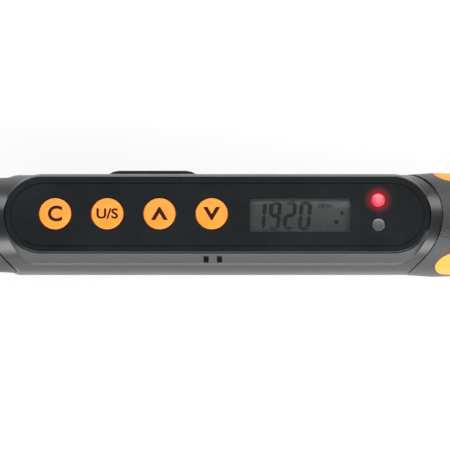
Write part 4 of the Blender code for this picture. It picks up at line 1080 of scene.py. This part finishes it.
# reversing lever: a low round hub with a ribbed paddle
lever = {
    "hub": 6.0 * mm, "tip": 2.8 * mm, "shaft": 2.5 * mm, "rib": 0.5 * mm, "ribs": 5, "ribPitch": 1.7 * mm
}


def makeLever():
    low, high = boxOf("reversing_lever")
    pivot = headRadius - mm
    foot = headHigh.z + 0.3 * mm
    profile = roundedDisc(lever["hub"], foot, high.z, 0.6 * mm)
    piece = turnedPiece("reversingLever", profile, "Z", Vector((pivot, 0, 0)), 72)
    paddleLow, paddleHigh = foot + 0.3 * mm, high.z - 0.2 * mm
    paddle = hullOf("paddle", [
        post("paddleRoot", lever["hub"] - 0.7 * mm, (pivot, 0), paddleLow, paddleHigh, 64),
        post("paddleEnd", lever["tip"], (high.x - lever["tip"], 0), paddleLow, paddleHigh),
    ])
    carve(piece, paddle, "UNION")
    for i in range(lever["ribs"]):
        x = high.x - 2.4 * mm - i * lever["ribPitch"]
        groove = cylinderTool(
            "groove", lever["rib"], (x, -6 * mm, paddleHigh + 0.15 * mm), (x, 6 * mm, paddleHigh + 0.15 * mm),
            24,
        )
        carve(piece, groove)
    shaft = post("leverShaft", lever["shaft"], (pivot, 0), low.z, foot + mm)
    carve(piece, shaft, "UNION")
    finishPiece(piece, "lever", blackOxide, ["reversing_lever"], 30)


makeHead()
makeSquare()
makeBall()
makeButton()
makeReleaseSpring()
makeLever()
print("head made")

# neck collar and steel tube
collar = {"front": 1.6 * mm, "nose": 0.9 * mm, "rearDrop": 1.0 * mm, "gap": 0.3 * mm}
tubeEnds = {"wall": 2 * mm, "chamfer": 0.4 * mm}
pins = {"gap": 0.3 * mm, "slack": 0.05 * mm, "rounding": 0.4 * mm}


def makeNeck():
    low, high = boxOf("neck_collar")
    start = low.x
    front = tubeRadius + collar["front"]
    rear = bodyRadius - collar["rearDrop"]
    end = shellLow.x + saddleRadius
    seat = tubeRadius + collar["gap"]
    shape = smoothProfile([
        (start + 1.2 * mm, front), (start + 6 * mm, front + 0.2 * mm), (start + 17 * mm, front + 1.7 * mm),
        (start + 29 * mm, rear - 0.9 * mm), (shellLow.x + 3 * mm, rear), (end, bodyRadius),
    ], 5)
    outline = [
        (start, front - collar["nose"]), (start + 0.3 * mm, front - 0.3 * mm)
    ] + shape + [(end, seat), (start, seat)]
    piece = turnedPiece("neckCollar", ringProfile(outline), steps=128)
    carve(piece, saddleBlock("collarSaddle", collar["gap"]))
    finishPiece(piece, "frame", handledAbs, ["neck_collar"], 30)

    low, high = tubeLow.x, tubeHigh.x
    inner = tubeRadius - tubeEnds["wall"]
    chamfer = tubeEnds["chamfer"]
    tube = turnedPiece("steelTube", ringProfile([
        (low, tubeRadius - chamfer), (low + chamfer, tubeRadius), (high - chamfer, tubeRadius),
        (high, tubeRadius - chamfer),
        (high, inner), (low, inner),
    ]), steps=96)
    for node in ("beam_pin_front", "beam_pin_rear"):
        spot = middleOf(node)
        low, high = boxOf(node)
        radius = (high.x - low.x) / 2 + pins["gap"]
        carve(tube, cylinderTool("pinBore", radius, (spot.x, -30 * mm, spot.z), (spot.x, 30 * mm, spot.z)))
        reach = (high.y - low.y) / 2
        radius += pins["slack"] - pins["gap"]
        rounding = pins["rounding"]
        pin = turnedPiece(f"pin_{node}", [
            (-reach, 0), (-reach, radius - rounding), (rounding - reach, radius), (reach - rounding, radius),
            (reach, radius - rounding), (reach, 0),
        ], "Y", spot, 40)
        finishPiece(pin, "frame", blackOxide, [node])
    finishPiece(tube, "frame", satinTube, ["core_tube"])


makeNeck()
print("neck and tube made")

# grip: waisted rubber sleeve with two orange inlays let into it
grip = {
    "stations": (
        (0.0, 0.0), (0.03, 0.2), (0.075, 0.7), (0.12, 0.3), (0.25, -0.3), (0.42, 0.2), (0.54, 0.6),
        (0.66, 0.2), (0.8, -0.3), (0.96, 0.6), (1.0, 0.45),
    ),
    "wall": 3.2 * mm, "inlayTilt": 24.0, "inlayGap": 0.12 * mm, "inlayDepth": 1.5 * mm,
    "drop": ((6.6, 6.2), (22.0, 8.6), (90.0, 8.6), (152.0, 3.4)),
}


def gripRadius(share):
    stations = grip["stations"]
    for (first, low), (second, high) in zip(stations, stations[1:]):
        if share <= second:
            part = (share - first) / (second - first)
            eased = part * part * (3 - 2 * part)
            return bodyRadius + (low + (high - low) * eased) * mm
    return bodyRadius + stations[-1][1] * mm


def gripOutline(offset, inner, count=60):
    long = gripHigh.x - gripStart
    outline = []
    for i in range(count + 1):
        share = i / count
        outline.append((gripStart + share * long, gripRadius(share) + offset))
    return ringProfile(outline + [(gripHigh.x, inner), (gripStart, inner)])


def dropTool(name, side, grow):
    # the inlay's outline: a hull round four circles, pushed through along the tilted radius
    tilt = math.radians(grip["inlayTilt"])
    outward = Vector((0, side * math.cos(tilt), math.sin(tilt)))
    start = boxOf("grip_inlay_left")[0].x
    tools = []
    for place, radius in grip["drop"]:
        foot = Vector((start + place * mm, 0, axisZ)) + 4 * mm * outward
        head = Vector((start + place * mm, 0, axisZ)) + 40 * mm * outward
        tools.append(cylinderTool(name, radius * mm + grow, foot, head, 48))
    return hullOf(name, tools)


gripStart = shellHigh.x - 15.5 * mm


def makeGrip():
    sleeve = turnedPiece("gripSleeve", gripOutline(0.0, bodyRadius - grip["wall"]), steps=128)
    carve(sleeve, saddleBlock("gripSaddle", 0.3 * mm))
    for node, side in (("grip_inlay_left", 1), ("grip_inlay_right", -1)):
        pocket = turnedPiece(
            "pocketRing", gripOutline(3 * mm, bodyRadius - grip["inlayDepth"] - 0.6 * mm, 8), steps=96
        )
        carve(pocket, dropTool("pocketDrop", side, grip["inlayGap"]), "INTERSECT")
        carve(sleeve, pocket)
        inlay = turnedPiece(
            f"inlay_{node}", gripOutline(0.08 * mm, bodyRadius - grip["inlayDepth"] - 0.4 * mm), steps=128
        )
        carve(inlay, dropTool("inlayDrop", side, 0.0), "INTERSECT")
        softenEdges(inlay, 0.25 * mm, 2, 50)
        finishPiece(inlay, "frame", inlayRubber, [node], 35)
    finishPiece(sleeve, "frame", gripRubber, ["grip_sleeve"], 30)


makeGrip()
print("grip made")

# end cap: a threaded plug and a rounded cap with finger grooves
cap = {
    "thread": 0.6 * mm, "ridges": 3, "grooves": 24, "groove": 0.9 * mm, "rear": 8.5 * mm,
    "slot": (1.6, 9.0, 1.2),
}


def makeCap():
    low, high = boxOf("end_cap")
    radius = (high.y - low.y) / 2
    shoulder = gripHigh.x + mm
    crest = tubeRadius - 2.3 * mm
    root = crest - cap["thread"]
    outline = [(low.x, 0), (low.x, root)]
    pitch = (tubeHigh.x - low.x - 2 * mm) / cap["ridges"]
    for i in range(cap["ridges"]):
        foot = low.x + mm + i * pitch
        outline += [
            (foot, root), (foot + 0.3 * pitch, crest), (foot + 0.5 * pitch, crest), (foot + 0.8 * pitch, root)
        ]
    outline += [(shoulder, root), (shoulder, radius - 0.8 * mm)]
    outline += [
        (
            shoulder + 0.8 * mm * (1 - math.cos(a)), radius - 0.8 * mm * (1 - math.sin(a))
        ) for a in (0.4, 0.8, 1.2, math.pi / 2)
    ]
    long = high.x - shoulder
    outline += [(shoulder + 0.5 * long, radius - 0.2 * mm)]
    for a in quarterTurn(12):
        outline.append(
            (shoulder + (0.5 + 0.5 * math.sin(a)) * long, radius - 0.2 * mm - cap["rear"] * (1 - math.cos(a)))
        )
    outline.append((high.x, 0))
    piece = turnedPiece("endCap", outline, steps=120)
    for i in range(cap["grooves"]):
        a = 2 * math.pi * i / cap["grooves"]
        out = Vector((0, math.cos(a), math.sin(a))) * (radius + 0.35 * mm)
        start = axisPoint + out + Vector((shoulder + 3 * mm, 0, 0))
        carve(piece, cylinderTool("capGroove", cap["groove"], start, start + Vector((0.52 * long, 0, 0)), 16))
    wide, tall, deep = (value * mm for value in cap["slot"])
    carve(
        piece,
        block("coinSlot", (high.x - deep, -tall, axisZ - wide / 2), (high.x + mm, tall, axisZ + wide / 2)),
    )
    finishPiece(piece, "end_cap", mouldedAbs, ["end_cap"], 30)


makeCap()
print("end cap made")

# floor, light and camera
stage = {
    "floorColour": "#f4f4f4", "viewElevation": 77.6, "frameWidth": 157.5 * mm,
    "lens": 250.0, "sensor": 36.0, "aimAlong": 2.6 * mm,
}


def makeStage():
    deselectAll()
    bpy.ops.mesh.primitive_plane_add(size=6, location=(faceX, 0, -0.2 * mm))
    floor = placed("floor")
    made = startMaterial(
        "palePaperFloor", {"Base Color": toLinear(stage["floorColour"]), "Roughness": 0.9}
    )[0]
    floor.data.materials.append(made)

    world = bpy.data.worlds.new("softStudio")
    bpy.context.scene.world = world
    world.use_nodes = True
    tree = world.node_tree
    coords = addNode(tree, "TexCoord").outputs["Generated"]
    height = addNode(tree, "SeparateXYZ", links={0: coords}).outputs["Z"]
    sky = addNode(tree, "ValToRGB", None, {"Fac": height}, ((0.0, grey(1.0)), (0.85, grey(0.2))))
    linkInputs(tree, tree.nodes["Background"], {"Color": sky})
    tree.nodes["Background"].inputs["Strength"].default_value = 1.0

    for name, place, size, power in (
        ("overheadSoftbox", (faceX + 0.1, 0.9, 1.1), (1.8, 0.7), 19.0),
        ("frontStripbox", (faceX, -0.8, 0.45), (1.8, 0.45), 17.0),
        ("endSoftbox", (faceX + 0.95, -0.2, 0.6), (0.6, 0.6), 7.0),
    ):
        deselectAll()
        bpy.ops.object.light_add(type="AREA", location=place)
        lamp = bpy.context.active_object
        lamp.name = name
        lamp.data.shape = "RECTANGLE"
        lamp.data.size, lamp.data.size_y = size
        lamp.data.energy = power
        aim = Vector((faceX, 0, axisZ)) - Vector(place)
        lamp.rotation_euler = aim.to_track_quat("-Z", "Y").to_euler()

    distance = stage["frameWidth"] * stage["lens"] / stage["sensor"]
    rise = math.radians(stage["viewElevation"])
    aim = Vector((faceX + stage["aimAlong"], 0, axisZ))
    back = Vector((0, -math.cos(rise), math.sin(rise)))
    deselectAll()
    bpy.ops.object.camera_add(location=aim + distance * back)
    camera = bpy.context.active_object
    camera.rotation_euler = (-back).to_track_quat("-Z", "Y").to_euler()
    camera.data.lens = stage["lens"]
    camera.data.sensor_width = stage["sensor"]
    camera.data.clip_end = 20
    bpy.context.scene.camera = camera
    bpy.context.scene.view_settings.view_transform = "Standard"


makeStage()

# materials of the CAD nodes that stay as they are
keptNodes = (
    (blackOxide, "head_cover", "strain_beam", *(f"cover_screw_{i}" for i in range(1, 4))),
    (blackOxide, *(f"housing_screw_{i}" for i in range(1, 5))), (toolSteel, "drive_gear", "pawl"),
    (contactBrass, "strain_gauge_left", "strain_gauge_right", "front_contact", "rear_contact"),
    (wirePvc, "gauge_cable", "battery_cable"), (solderMask, "circuit_board"), (flapRubber, "port_cover"),
    (siliconeRubber, "key_mat", "buzzer", "cap_seal"), (springWire, "usb_socket", "cell_spring"),
    (mouldedAbs, "grip_core", "cell_holder"), (shrinkSleeve, "cell_1", "cell_2"),
)
for material, *nodes in keptNodes:
    for node in nodes:
        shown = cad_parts[node]
        if not shown.material_slots:
            shown.data.materials.append(material)
        for materialSlot in shown.material_slots:
            materialSlot.material = material
